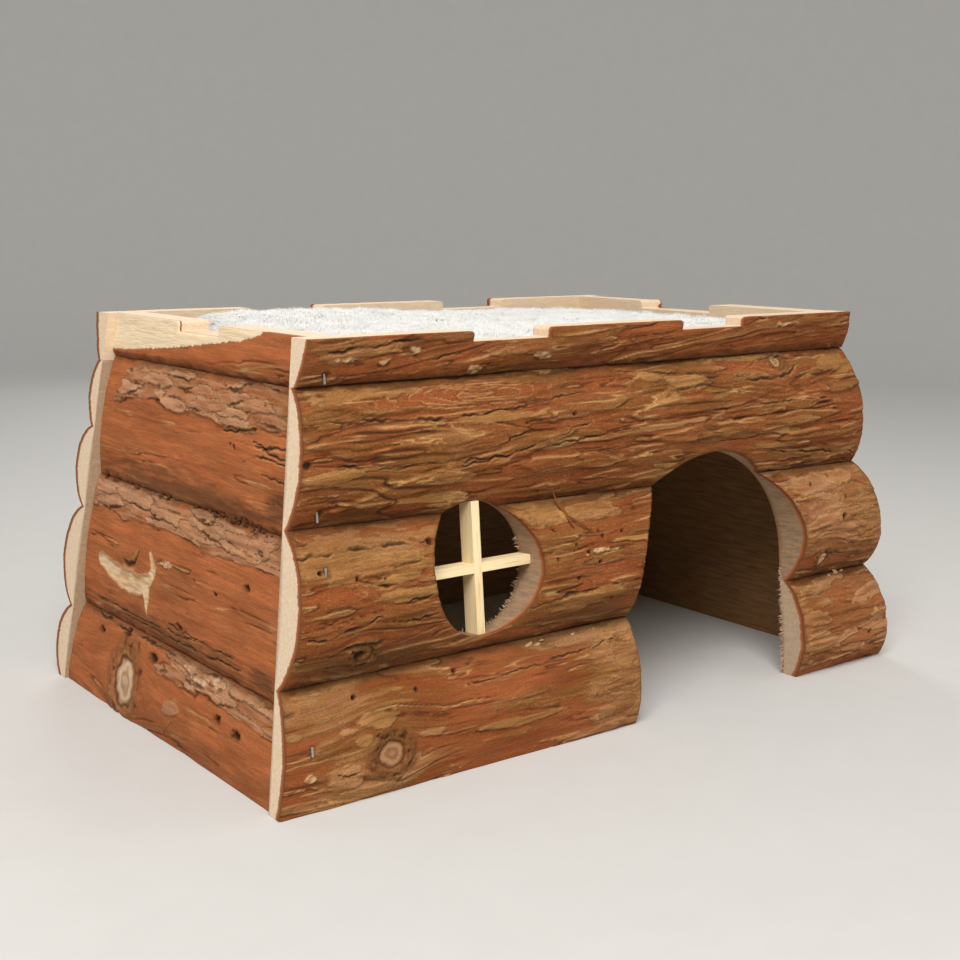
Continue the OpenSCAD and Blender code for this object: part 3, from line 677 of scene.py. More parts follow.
def mark_scar(x, s, v, f, lift, crack, seed, path, width, start, end):
    """Pale torn wood along a given line, with shares of its width left at the two ends."""
    away, where = path_distance(x, s, path)
    half = width * np.interp(where, (0, 0.5, 1), (start, 1.0, end))
    q = away / half + 0.2 * layered_noise(x / 8, s / 5, seed + 61, 3)
    m = smooth(1.1, 0.9, q)
    rim = peak(q, 1.15, 0.16)
    streak = noise(x / 9, v / 1.6, seed + 68) + 0.6 * noise(x / 22, v / 5, seed + 69)
    at_least(f, "bare", m * (0.15 + 0.5 * smooth(-0.4, 0.5, streak)))
    at_least(f, "lip", np.maximum(0.7 * rim, m))
    at_least(f, "outer", 0.9 * smooth(2.0, 1.0, q))
    return lift * (1 - 0.8 * m) + 0.35 * rim + (0.15 * streak - 0.7) * m, crack * (1 - m)


def mark_hole(x, s, v, f, lift, crack, seed, cx, cs, r, wide=1.15):
    """A beetle's hole, ragged where it is wide."""
    q = np.hypot((x - cx) / wide, s - cs) / r
    q = q + 0.5 * (wide - 1) * noise(x / 2.2, s / 1.4, seed + 73)
    m = smooth(1.25, 0.7, q)
    at_least(f, "dirt", 0.7 * (wide - 1) * smooth(1.9, 1.1, q))
    return lift - 1.4 * m, np.maximum(crack, m)


def mark_knot(x, s, v, f, lift, crack, seed, cx, cs, r, bare, tall=1.0):
    """A branch knot: a heart with growth rings inside a swollen ring of wrinkled bark."""
    q = np.hypot((x - cx) / 1.1, (s - cs) / tall) / r + 0.1 * noise(x / 5, s / 5, seed + 62)
    turn = np.arctan2(s - cs, x - cx)
    inside, ring, heart = smooth(1.4, 1.0, q), peak(q, 0.97, 0.3), smooth(0.66, 0.54, q)
    wrinkle = ring * layered_noise(turn * 3, q * 5, seed + 63, 2)
    circles = 0.5 + 0.4 * np.sin(q * 19 + 1.6 * noise(x / 6, s / 5, seed + 65))
    circles = circles - 0.4 * smooth(0.35, 0.1, q)
    blend(f, "outer", inside, 0.45 + 0.3 * wrinkle)
    blend(f, "outer", heart, 0.55 + 0.35 * circles)
    at_least(f, "bare", bare * heart * (0.35 + 0.6 * circles))
    f["lip"] = f["lip"] * (1 - inside) + 0.5 * bare * peak(q, 0.74, 0.06)
    f["dirt"] = np.maximum(f["dirt"] * (1 - heart), (0.8 - 0.6 * bare) * ring)
    lift = lift * (1 - inside) + 1.3 * ring - 0.3 * heart + 0.7 * wrinkle
    gaps = np.maximum(0.8 * peak(q, 0.64, 0.055), 0.7 * smooth(0.25, 0.6, -wrinkle))
    return lift, np.maximum(crack * (1 - inside), gaps)


def mark_stain_and_shade(x, s, v, f, lift, crack, seed, cx, cs, half_l, half_h, strength=1.0):
    """A dark patch, laid for stains and for painted shade along the lower edges of slabs."""
    ragged = 0.5 * layered_noise(x / 17, v / 3, seed + 64, 4, 1)
    m = strength * smooth(1.3, 0.3, oval(x, s, cx, cs, half_l, half_h) + ragged)
    at_least(f, "dirt", m)
    return lift - 0.3 * m, crack


# What lays on each kind of mark. A swirl is laid on before the flakes, and these after them
MARKS = {"crack": mark_crack, "plate": mark_plate, "scar": mark_scar, "hole": mark_hole,
         "knot": mark_knot, "stain": mark_stain_and_shade, "fleck": mark_fleck, "dry": mark_dry}


# Edge of the sawn flat on the end parapets: x along the wall, and s up it
SAW_LINE = ((-115.0, -78.0, -43.0, -13.0, 22.0, 43.0, 56.0, 63.0, 66.0),
            (180.0, 182.0, 184.7, 187.7, 191.8, 194.4, 196.6, 199.0, 206.0))


def sink_staples(slab, face, x, s, t, f):
    """Lowers the bark round each wall staple, so that its crown lies bare in a dent. At the right end
    of the front wall the photograph shows no crowns, so there the bark closes over them."""
    rows = {FRONT: FRONT_STAPLES, BACK: BACK_STAPLES}.get(slab.wall, ())
    for height in rows:
        if not min(slab.low) < height < max(slab.high):
            continue
        for side in (-1, 1):
            at = side * (slab.wall.half(height, 0.0) - STAPLE_INSET)
            ends = np.array([height - STAPLE_CROWN / 2, height + STAPLE_CROWN / 2])
            crown = face(np.full(2, at), ends).min() - STAPLE_SINK
            past_end = np.maximum(np.abs(s - height) - STAPLE_CROWN / 2 + 1, 0)
            dent = smooth(1.4, 0.75, np.hypot((x - at) / 1.4, past_end / 1.6))
            if slab.wall is FRONT and side > 0:
                t = t + dent * np.maximum(crown + STAPLE_COVER - t, 0)
                continue
            t = t + dent * np.minimum(crown - STAPLE_BARE - t, 0)
            at_least(f, "dirt", 0.6 * dent)
    return t


def dress(slab, face, x, s, edges_of):
    """Bark relief on a slab: the new x, s and t of its points, and the masks for its paint."""
    low, high = edges_of
    groove = np.full(x.shape, FAR)
    if not slab.on_floor:
        groove = np.minimum(groove, s - low)
    if not slab.parapet:
        groove = np.minimum(groove, high - s)
    f = bark(slab.look, x, s, groove)
    t = face(x, s)
    step = 0.5
    tx = (face(x + step, s) - face(x - step, s)) / (2 * step)
    ts = (face(x, s + step) - face(x, s - step)) / (2 * step)
    steep = np.sqrt(1 + tx**2 + ts**2)
    cut_edge = np.minimum(x - slab.end_x(-1, s, t), slab.end_x(1, s, t) - x)
    cut_edge = np.minimum(cut_edge, slab.gap(x, s, t))
    f["lift"] = f["lift"] * (0.45 + 0.55 * smooth(0, 6, cut_edge)) - CUT_ROUND * np.exp(-cut_edge / 0.7)
    at_least(f, "dirt", 0.5 * smooth(1.8, 0.2, cut_edge))
    inside = smooth(0, 3, np.minimum(cut_edge, np.minimum(s - low, high - s)))
    new_x = x - inside * f["lift"] * tx / steep
    new_s = np.clip(s - inside * f["lift"] * ts / steep, low, high)
    new_t = sink_staples(slab, face, x, s, t + f["lift"] / steep, f)
    if slab.on_floor:
        new_s = np.maximum(new_s, -new_t * math.tan(slab.wall.lean))
    if slab.sawn:
        saw_flat(slab, face, x, s, f)
        new_t = np.minimum(new_t, face.cap + 0.05 * noise(x / 2.2, s / 30, slab.look.seed + 71))
    return new_x, new_s, new_t, t, f


def saw_flat(slab, face, x, s, f):
    """Masks of the sawn flat, with a ragged edge and warm bark along it."""
    over = s - np.interp(x, *SAW_LINE) + 0.7 * noise(x / 2.6, s / 9, slab.look.seed + 70)
    over = np.minimum(over, 4 * (face.raw(x, s) + 1.0 - face.cap))
    cut = smooth(-0.3, 0.3, over)
    at_least(f, "bare", cut)
    f["crack"], f["dirt"] = f["crack"] * (1 - cut), f["dirt"] * (1 - cut)
    f["warm"] = f["warm"] + 0.5 * smooth(-6, 0, over)


def new_mesh(name, points, faces, materials, kinds=None, flat=()):
    """A mesh from arrays of faces: kinds are the arrays' materials, flat those with flat shading."""
    mesh = bpy.data.meshes.new(name)
    corners = np.concatenate([np.asarray(f).ravel() for f in faces])
    sizes = np.concatenate([np.full(len(f), np.asarray(f).shape[1]) for f in faces])
    mesh.vertices.add(len(points))
    mesh.vertices.foreach_set("co", np.asarray(points, np.float32).ravel())
    mesh.loops.add(len(corners))
    mesh.loops.foreach_set("vertex_index", corners.astype(np.int32))
    mesh.polygons.add(len(sizes))
    mesh.polygons.foreach_set("loop_start", (np.cumsum(sizes) - sizes).astype(np.int32))
    counts = [len(f) for f in faces]
    kinds = np.repeat(kinds or [0] * len(faces), counts)
    mesh.polygons.foreach_set("material_index", kinds.astype(np.int32))
    mesh.polygons.foreach_set("use_smooth", np.repeat([i not in flat for i in range(len(faces))], counts))
    for material in materials:
        mesh.materials.append(material)
    mesh.update(calc_edges=True)
    piece = bpy.data.objects.new(name, mesh)
    bpy.context.scene.collection.objects.link(piece)
    return piece


def add_field(piece, name, values):
    """Stores a number, or a vector, for each point of a mesh."""
    values = np.asarray(values, np.float32)
    kind, key = ("FLOAT_VECTOR", "vector") if values.ndim == 2 else ("FLOAT", "value")
    piece.data.attributes.new(name, kind, "POINT").data.foreach_set(key, values.ravel())


def add_plain_fields(piece, **fields):
    """Stores the same number for all points of a mesh."""
    for name, value in fields.items():
        add_field(piece, name, np.full(len(piece.data.vertices), value))


# Order that turns a face over
OVER = [0, 3, 2, 1]


def ring_quads(around, rings):
    """Faces between rings of points that follow one another."""
    k = np.arange(around)
    after = (k + 1) % around
    band = np.stack([k, after, around + after, around + k], -1)
    return np.concatenate([r * around + band for r in range(rings - 1)])


def weld(piece):
    """Joins the points of a mesh that fall on one another, and drops the empty faces between them."""
    shape = bmesh.new()
    shape.from_mesh(piece.data)
    bmesh.ops.remove_doubles(shape, verts=shape.verts, dist=0.05 * MM)
    bmesh.ops.dissolve_degenerate(shape, edges=shape.edges, dist=0.005 * MM)
    shape.to_mesh(piece.data)
    shape.free()


# Depths of the points between the bark and the inner face: two across the bark rim, as
# millimetres, then shares of the wood behind it
RIM_ROWS = (0.5 * RIM_T, RIM_T)
WOOD_ROWS = (0.2, 0.4, 0.6, 0.8, 1.0)


def inner_points(slab, x, s, t, is_level, side, edges_of):
    """Where the cut edge of each border point meets the wall's inner face."""
    low, high = edges_of
    inner_s = np.where(is_level, slab.wall.level(s, t) / math.cos(slab.wall.lean), s)
    inner_x = x.copy()
    for way in (-1, 1):
        ends = side == way
        foot, top = slab.low[(way + 1) // 2], slab.high[(way + 1) // 2]
        share = (s[ends] - low[ends]) / (high[ends] - low[ends])
        inner_s[ends] = foot + np.clip(share, 0, 1) * (top - foot)
        inner_x[ends] = slab.end_x(way, inner_s[ends], 0.0)
    return inner_x, inner_s


def fill_inner_face(x, s, loops):
    """Triangles of the flat inner face inside its loops of points, facing into the room."""
    links = [pair for loop in loops for pair in zip(loop, np.roll(loop, -1))]
    used = np.concatenate(loops)
    order = {int(p): i for i, p in enumerate(used)}
    points = [Vector((float(a), float(b))) for a, b in zip(x[used].round(4), s[used].round(4))]
    pairs = [(order[int(p)], order[int(q)]) for p, q in links]
    inside_only = 1
    made = delaunay_2d_cdt(points, pairs, [], inside_only, 1e-7)
    faces = used[np.array([[made[3][i][0] for i in f] for f in made[2]])]
    area = ((x[faces[:, 1]] - x[faces[:, 0]]) * (s[faces[:, 2]] - s[faces[:, 0]])
            - (x[faces[:, 2]] - x[faces[:, 0]]) * (s[faces[:, 1]] - s[faces[:, 0]]))
    return np.where(area[:, None] > 0, faces[:, ::-1], faces)


# Smooth bark face of each slab, by its node
FACES = {}
# How much painted shade darkens the cut wood round the doorway and window, and down the doorway's jambs,
# beside the wood in the room
OPENING_SHADE, JAMB_SHADE = 0.8, 0.5


def make_slab(slab):
    """Closed mesh of a slab: displaced bark face, cut edges with their bark rim, and flat inner face."""
    face = FACES[slab.node] = BarkFace(slab)
    x, s, keep, edges = slab_grid(slab, face)
    rows, cols = x.shape
    used = corner_count(keep) > 0
    index = np.full(x.shape, -1)
    index[used] = np.arange(used.sum())
    low, high = (np.broadcast_to(edge, x.shape)[used] for edge in edges)
    row, col = np.nonzero(used)
    x, s, t, plain_t, f = dress(slab, face, x[used], s[used], (low, high))
    side = np.where(col == 0, -1, np.where(col == cols - 1, 1, 0))
    loops = rim_loops(rim_edges(keep, index))
    on_rim = np.zeros(len(x), bool)
    on_rim[np.concatenate(loops)] = True
    is_level = on_rim & (((row == 0) & slab.on_floor) | (slab.parapet & (row > 0)))
    is_level &= (row == 0) | (row == rows - 1) | (side == 0)
    s = np.where(is_level, s + (plain_t - t) * math.tan(slab.wall.lean), s)
    for way in (-1, 1):
        x[side == way] = slab.end_x(way, s[side == way], t[side == way])
    quads = np.stack([index[:-1, :-1], index[:-1, 1:], index[1:, 1:], index[1:, :-1]], -1)[keep]
    inner = inner_points(slab, x, s, t, is_level, side, (low, high))
    (x, s, t), depth, strips, inner_loops = cut_edges(loops, (x, s, t), inner, f["bare"] * slab.sawn)
    piece = new_mesh(slab.node + "_bark", slab.wall.place(x, s, t),
                     [quads, strips, fill_inner_face(x, s, inner_loops)],
                     [BARK, CUT_WOOD], kinds=[0, 1, 1], flat=(1, 2))
    add_slab_fields(piece, slab, f, x, s, t)
    add_field(piece, "depth", depth)
    if slab.cuts:
        weld(piece)
    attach(piece, "house")
    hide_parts(slab.node)


def cut_edges(loops, outer, inner, sawn):
    """The slab's points with those down its cut edges added, the depths of all below the bark, the faces
    of the cut edges, and the loops in which they meet the inner face."""
    x, s, t = outer
    inner_x, inner_s = inner
    points, depth = [np.stack(outer)], [np.zeros(len(x))]
    strips, inner_loops, count = [], [], len(x)
    for loop in loops:
        rings = [loop]
        wood = t[loop] - RIM_T
        for below in [np.full(len(loop), d) for d in RIM_ROWS] + [RIM_T + k * wood for k in WOOD_ROWS]:
            k = below / t[loop]
            points.append(np.stack([x[loop] + (inner_x[loop] - x[loop]) * k,
                                    s[loop] + (inner_s[loop] - s[loop]) * k, t[loop] * (1 - k)]))
            depth.append(below + (RIM_T + 1.0) * sawn[loop])
            rings.append(count + np.arange(len(loop)))
            count += len(loop)
        for upper, lower in zip(rings, rings[1:]):
            strips.append(np.stack([np.roll(upper, -1), upper, lower, np.roll(lower, -1)], -1))
        inner_loops.append(rings[-1])
    return np.concatenate(points, 1), np.concatenate(depth), np.concatenate(strips), inner_loops


def add_slab_fields(piece, slab, f, x, s, t):
    """Masks for the paint of a slab's bark, and of the cut wood behind it."""
    count = len(f["v"])
    for name in ("outer", "crack", "lip", "bare", "warm", "rough"):
        add_field(piece, name, np.concatenate([f[name], np.zeros(len(x) - count)]))
    cut_x, cut_s, cut_t = x[count:], s[count:], t[count:]
    room_side = smooth(0.5, 0.0, cut_t) * (not slab.parapet)
    in_opening = (slab.gap(cut_x, cut_s, cut_t) < 0.5) & (not slab.parapet)
    # Painted shade on the cut wood: full on the faces in the room, less round the openings and down the
    # jambs
    painted_shade = np.maximum(room_side, OPENING_SHADE * in_opening)
    for jamb in [end for end in slab.ends if end is not None]:
        painted_shade = np.maximum(painted_shade, JAMB_SHADE * (np.abs(cut_x - jamb) < 0.5))
    add_field(piece, "dirt", np.concatenate([f["dirt"], painted_shade]))
    add_field(piece, "room_side", np.concatenate([np.zeros(count), room_side]))
    add_field(piece, "grain", np.stack([x, np.concatenate([f["v"], cut_s]), t], -1) / 10)


def paint(r, g, b):
    """A colour as it looks on a screen, from 0 to 255, in the linear numbers that shaders take."""
    return tuple(((c / 255 + 0.055) / 1.055) ** 2.4 for c in (r, g, b)) + (1.0,)


class Paint:
    """A node material under construction."""

    def __init__(self, name, roughness):
        self.material = bpy.data.materials.new(name)
        self.material.use_nodes = True
        self.tree = self.material.node_tree
        self.shader = self.tree.nodes["Principled BSDF"]
        self.shader.inputs["Roughness"].default_value = roughness

    def set(self, socket, value):
        if isinstance(value, bpy.types.NodeSocket):
            self.tree.links.new(value, socket)
        else:
            socket.default_value = value

    def node(self, kind, inputs=(), **settings):
        made = self.tree.nodes.new(kind)
        for key, value in settings.items():
            setattr(made, key, value)
        for key, value in dict(inputs).items():
            self.set(made.inputs[key], value)
        return made

    def field(self, name):
        return self.node("ShaderNodeAttribute", attribute_name=name).outputs["Fac"]

    def place(self, stretch, source=None):
        """Coordinates along the grain, in centimetres, stretched for a texture."""
        vector = source or self.node("ShaderNodeAttribute", attribute_name="grain").outputs["Vector"]
        return self.node("ShaderNodeVectorMath", {0: vector, 1: stretch}, operation="MULTIPLY").outputs[0]

    def noise(self, vector, scale, detail=3.0, roughness=0.6):
        inputs = {"Vector": vector, "Scale": scale, "Detail": detail, "Roughness": roughness}
        return self.node("ShaderNodeTexNoise", inputs).outputs["Fac"]

    def streaks(self, stretch, detail, roughness=0.6, source=None):
        return self.noise(self.place(stretch, source), 1.0, detail, roughness)

    def span(self, value, low, high, to=(0.0, 1.0)):
        inputs = {"Value": value, "From Min": low, "From Max": high, "To Min": to[0], "To Max": to[1]}
        return self.node("ShaderNodeMapRange", inputs).outputs["Result"]

    def maths(self, operation, a, b):
        return self.node("ShaderNodeMath", {0: a, 1: b}, operation=operation).outputs[0]

    def times(self, a, b):
        return self.maths("MULTIPLY", a, b)

    def plus(self, a, b):
        return self.maths("ADD", a, b)

    def mix(self, factor, a, b, mode="MIX"):
        inputs = {0: factor, 6: a, 7: b}
        return self.node("ShaderNodeMix", inputs, data_type="RGBA", blend_type=mode).outputs[2]

    def finish(self, colour, roughness=None, height=None, distance=0.0003, strength=0.6):
        self.set(self.shader.inputs["Base Color"], colour)
        if roughness is not None:
            self.set(self.shader.inputs["Roughness"], roughness)
        if height is not None:
            inputs = {"Height": height, "Distance": distance, "Strength": strength}
            self.set(self.shader.inputs["Normal"], self.node("ShaderNodeBump", inputs).outputs["Normal"])
        return self.material


def bark_paint():
    """Bark: red-brown inner layers, tan weathered sheets with pale edges that are partly painted
    highlights, dark cracks that also hold painted shadows, and bare wood.
    """
    p = Paint("bark", 0.85)
    p.shader.inputs["Specular IOR Level"].default_value = 0.2
    fibre = p.streaks((0.9, 9.0, 9.0), 5.0)
    speck = p.streaks((2.4, 13.0, 13.0), 3.0)
    grit = p.streaks((9.0, 15.0, 15.0), 2.0)
    mottle = p.streaks((0.35, 1.1, 1.1), 4.0)
    layers = p.maths("FRACT", p.times(p.streaks((0.17, 2.1, 2.1), 3.0, 0.45), 11.0), 0.0)
    rough = p.times(p.field("rough"), p.span(p.streaks((0.25, 1.6, 1.6), 2.0), 0.4, 0.6))
    coarse = p.span(p.field("rough"), 0.4, 0.9, (0.35, 1.0))
    warm, outer = p.field("warm"), p.field("outer")
    red = p.mix(warm, paint(134, 67, 28), paint(194, 112, 64))
    red = p.mix(p.span(mottle, 0.35, 0.7, (0.0, 0.6)), red, paint(156, 83, 38))
    brown = p.mix(warm, paint(130, 79, 32), paint(168, 104, 63))
    tan = p.mix(warm, paint(176, 125, 70), paint(202, 150, 116))
    weathered = p.mix(warm, paint(122, 93, 52), paint(184, 124, 92))
    tan = p.mix(p.span(mottle, 0.48, 0.8, (0.0, 0.7)), tan, weathered)
    colour = p.mix(p.span(outer, 0.08, 0.52), red, brown)
    colour = p.mix(p.span(outer, 0.5, 0.98), colour, tan)
    # Thin lines along each step of the layers: a painted highlight on one side of the step and a painted
    # shadow on the other
    for low, high, most, tone in ((0.86, 0.97, 0.45, (200, 152, 90)), (0.12, 0.02, 0.5, (78, 44, 20))):
        colour = p.mix(p.times(p.span(layers, low, high), p.times(rough, most)), colour, paint(*tone))
    # Pale lips of torn edges and pale wood, partly a painted highlight along the raised edges
    colour = p.mix(p.times(p.field("lip"), 0.7), colour, paint(212, 168, 110))
    colour = p.mix(p.span(fibre, 0.3, 0.72, (0.3, 0.0)), colour, paint(74, 40, 18))
    for spots, low, high, most, tone in (
            (speck, 0.62, 0.75, 0.35, (198, 152, 100)), (speck, 0.38, 0.25, 0.5, (58, 32, 15)),
            (grit, 0.56, 0.72, 0.22, (208, 164, 114)), (grit, 0.44, 0.28, 0.5, (66, 38, 18))):
        colour = p.mix(p.times(p.span(spots, low, high, (0.0, most)), coarse), colour, paint(*tone))
    # Dirt, and painted shade in the grooves and along slabs' lower edges, darken towards this brown
    colour = p.mix(p.times(p.field("dirt"), 0.65), colour, paint(74, 51, 28))
    # Cracks, and the painted shadows laid into the crack mask, in dark brown
    colour = p.mix(p.field("crack"), colour, paint(56, 32, 15))
    pale = p.mix(p.span(fibre, 0.3, 0.7), paint(240, 222, 190), paint(228, 200, 162))
    colour = p.mix(p.field("bare"), colour, pale)
    height = p.plus(fibre, p.times(p.times(layers, rough), 0.7))
    height = p.plus(height, p.times(grit, 0.6))
    return p.finish(colour, p.span(fibre, 0.2, 0.8, (0.75, 0.95)), height, 0.0006, 0.8)


def cut_wood_paint():
    """Sawn wood across a slab: a red-brown bark rim, then pale wood with pores, painted darker as shade
    in the room and round the openings.
    """
    p = Paint("cut_wood", 0.8)
    p.shader.inputs["Specular IOR Level"].default_value = 0.3
    depth = p.field("depth")
    ragged = p.plus(depth, p.span(p.streaks((9.0, 9.0, 9.0), 3.0), 0.2, 0.8, (-0.6, 0.6)))
    grain = p.streaks((1.2, 7.0, 7.0), 5.0)
    speck = p.streaks((16.0, 16.0, 16.0), 2.0)
    wood = p.mix(p.span(grain, 0.3, 0.75), paint(230, 209, 182), paint(212, 186, 154))
    wood = p.mix(p.span(speck, 0.60, 0.72, (0.0, 0.5)), wood, paint(150, 116, 84))
    streak = p.streaks((5.0, 5.0, 1.0), 4.0, 0.7)
    # Painted shade: two darker copies of the wood, one for the openings and the faces past the end walls,
    # one for the faces in the room
    shaded_wood = p.mix(p.span(streak, 0.35, 0.65), paint(150, 112, 75), paint(98, 68, 44))
    board = p.streaks((0.5, 6.0, 6.0), 4.0)
    inner = p.mix(p.span(board, 0.3, 0.7), paint(150, 110, 70), paint(110, 76, 46))
    grain_at = p.node("ShaderNodeAttribute", attribute_name="grain").outputs["Vector"]
    spot = p.node("ShaderNodeSeparateXYZ", {0: grain_at})
    off_middle = p.node("ShaderNodeMath", {0: spot.outputs["X"]}, operation="ABSOLUTE").outputs[0]
    sideways = p.plus(off_middle, p.times(spot.outputs["Y"], math.tan(END_LEAN)))
    room_end = (END_FOOT / 10 + 0.9, END_FOOT / 10 + 0.7)
    in_room = p.times(p.field("room_side"), p.span(sideways, *room_end))
    # The painted shade mask darkens the wood, fully in the room and to 0.6 past the end walls
    age = p.times(p.field("dirt"), p.span(sideways, *room_end, (0.6, 1.0)))
    wood = p.mix(age, wood, p.mix(in_room, shaded_wood, inner))
    rim = p.mix(p.span(depth, 0.2, RIM_T), paint(112, 58, 30), paint(172, 104, 60))
    colour = p.mix(p.span(ragged, RIM_T - 0.5, RIM_T + 0.1), rim, wood)
    return p.finish(colour, None, speck, 0.0002)


def plain_wood_paint(name, way):
    """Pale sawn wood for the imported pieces, with its grain along X, Y or Z."""
    p = Paint(name, 0.75)
    p.shader.inputs["Specular IOR Level"].default_value = 0.3
    place = p.node("ShaderNodeTexCoord").outputs["Object"]
    grain = p.streaks([12.0 if a == way else 160.0 for a in "XYZ"], 5.0, source=place)
    streak = p.streaks([40.0 if a == way else 900.0 for a in "XYZ"], 3.0, source=place)
    wood = p.mix(p.span(grain, 0.3, 0.7), paint(246, 228, 184), paint(230, 202, 152))
    colour = p.mix(p.span(streak, 0.55, 0.75, (0.0, 0.5)), wood, paint(186, 148, 100))
    return p.finish(colour, None, streak, 0.0002)


def steel_paint():
    """Bright staple wire with fine drawing lines."""
    p = Paint("staple_steel", 0.4)
    p.shader.inputs["Metallic"].default_value = 1.0
    lines = p.streaks((400.0, 400.0, 3000.0), 2.0, source=p.node("ShaderNodeTexCoord").outputs["Object"])
    colour = p.mix(lines, paint(170, 168, 164), paint(206, 205, 202))
    return p.finish(colour, p.span(lines, 0.3, 0.7, (0.28, 0.5)))


def plush_paint():
    """White pile, a little greyer in patches: painted shade, as down between the tufts."""
    p = Paint("plush", 0.9)
    for name, value in (("Sheen Weight", 0.25), ("Subsurface Weight", 0.3),
                        ("Subsurface Radius", (1.0, 1.0, 1.0)), ("Subsurface Scale", 0.004)):
        p.shader.inputs[name].default_value = value
    tuft = p.noise(p.node("ShaderNodeTexCoord").outputs["Object"], 170.0, 4.0)
    colour = p.mix(p.span(tuft, 0.3, 0.7), paint(238, 238, 235), paint(247, 247, 244))
    return p.finish(colour, None, tuft, 0.0006)


def floor_paint():
    """Plain pale floor."""
    p = Paint("floor", 0.9)
    grain = p.noise(p.node("ShaderNodeTexCoord").outputs["Object"], 40.0, 2.0)
    return p.finish(p.mix(grain, paint(200, 199, 196), paint(205, 204, 201)))


BARK = bark_paint()
CUT_WOOD = cut_wood_paint()
PLAIN_WOOD = plain_wood_paint("plain_wood", "X")
UPRIGHT_WOOD = plain_wood_paint("upright_wood", "Z")
STEEL = steel_paint()
PLUSH = plush_paint()

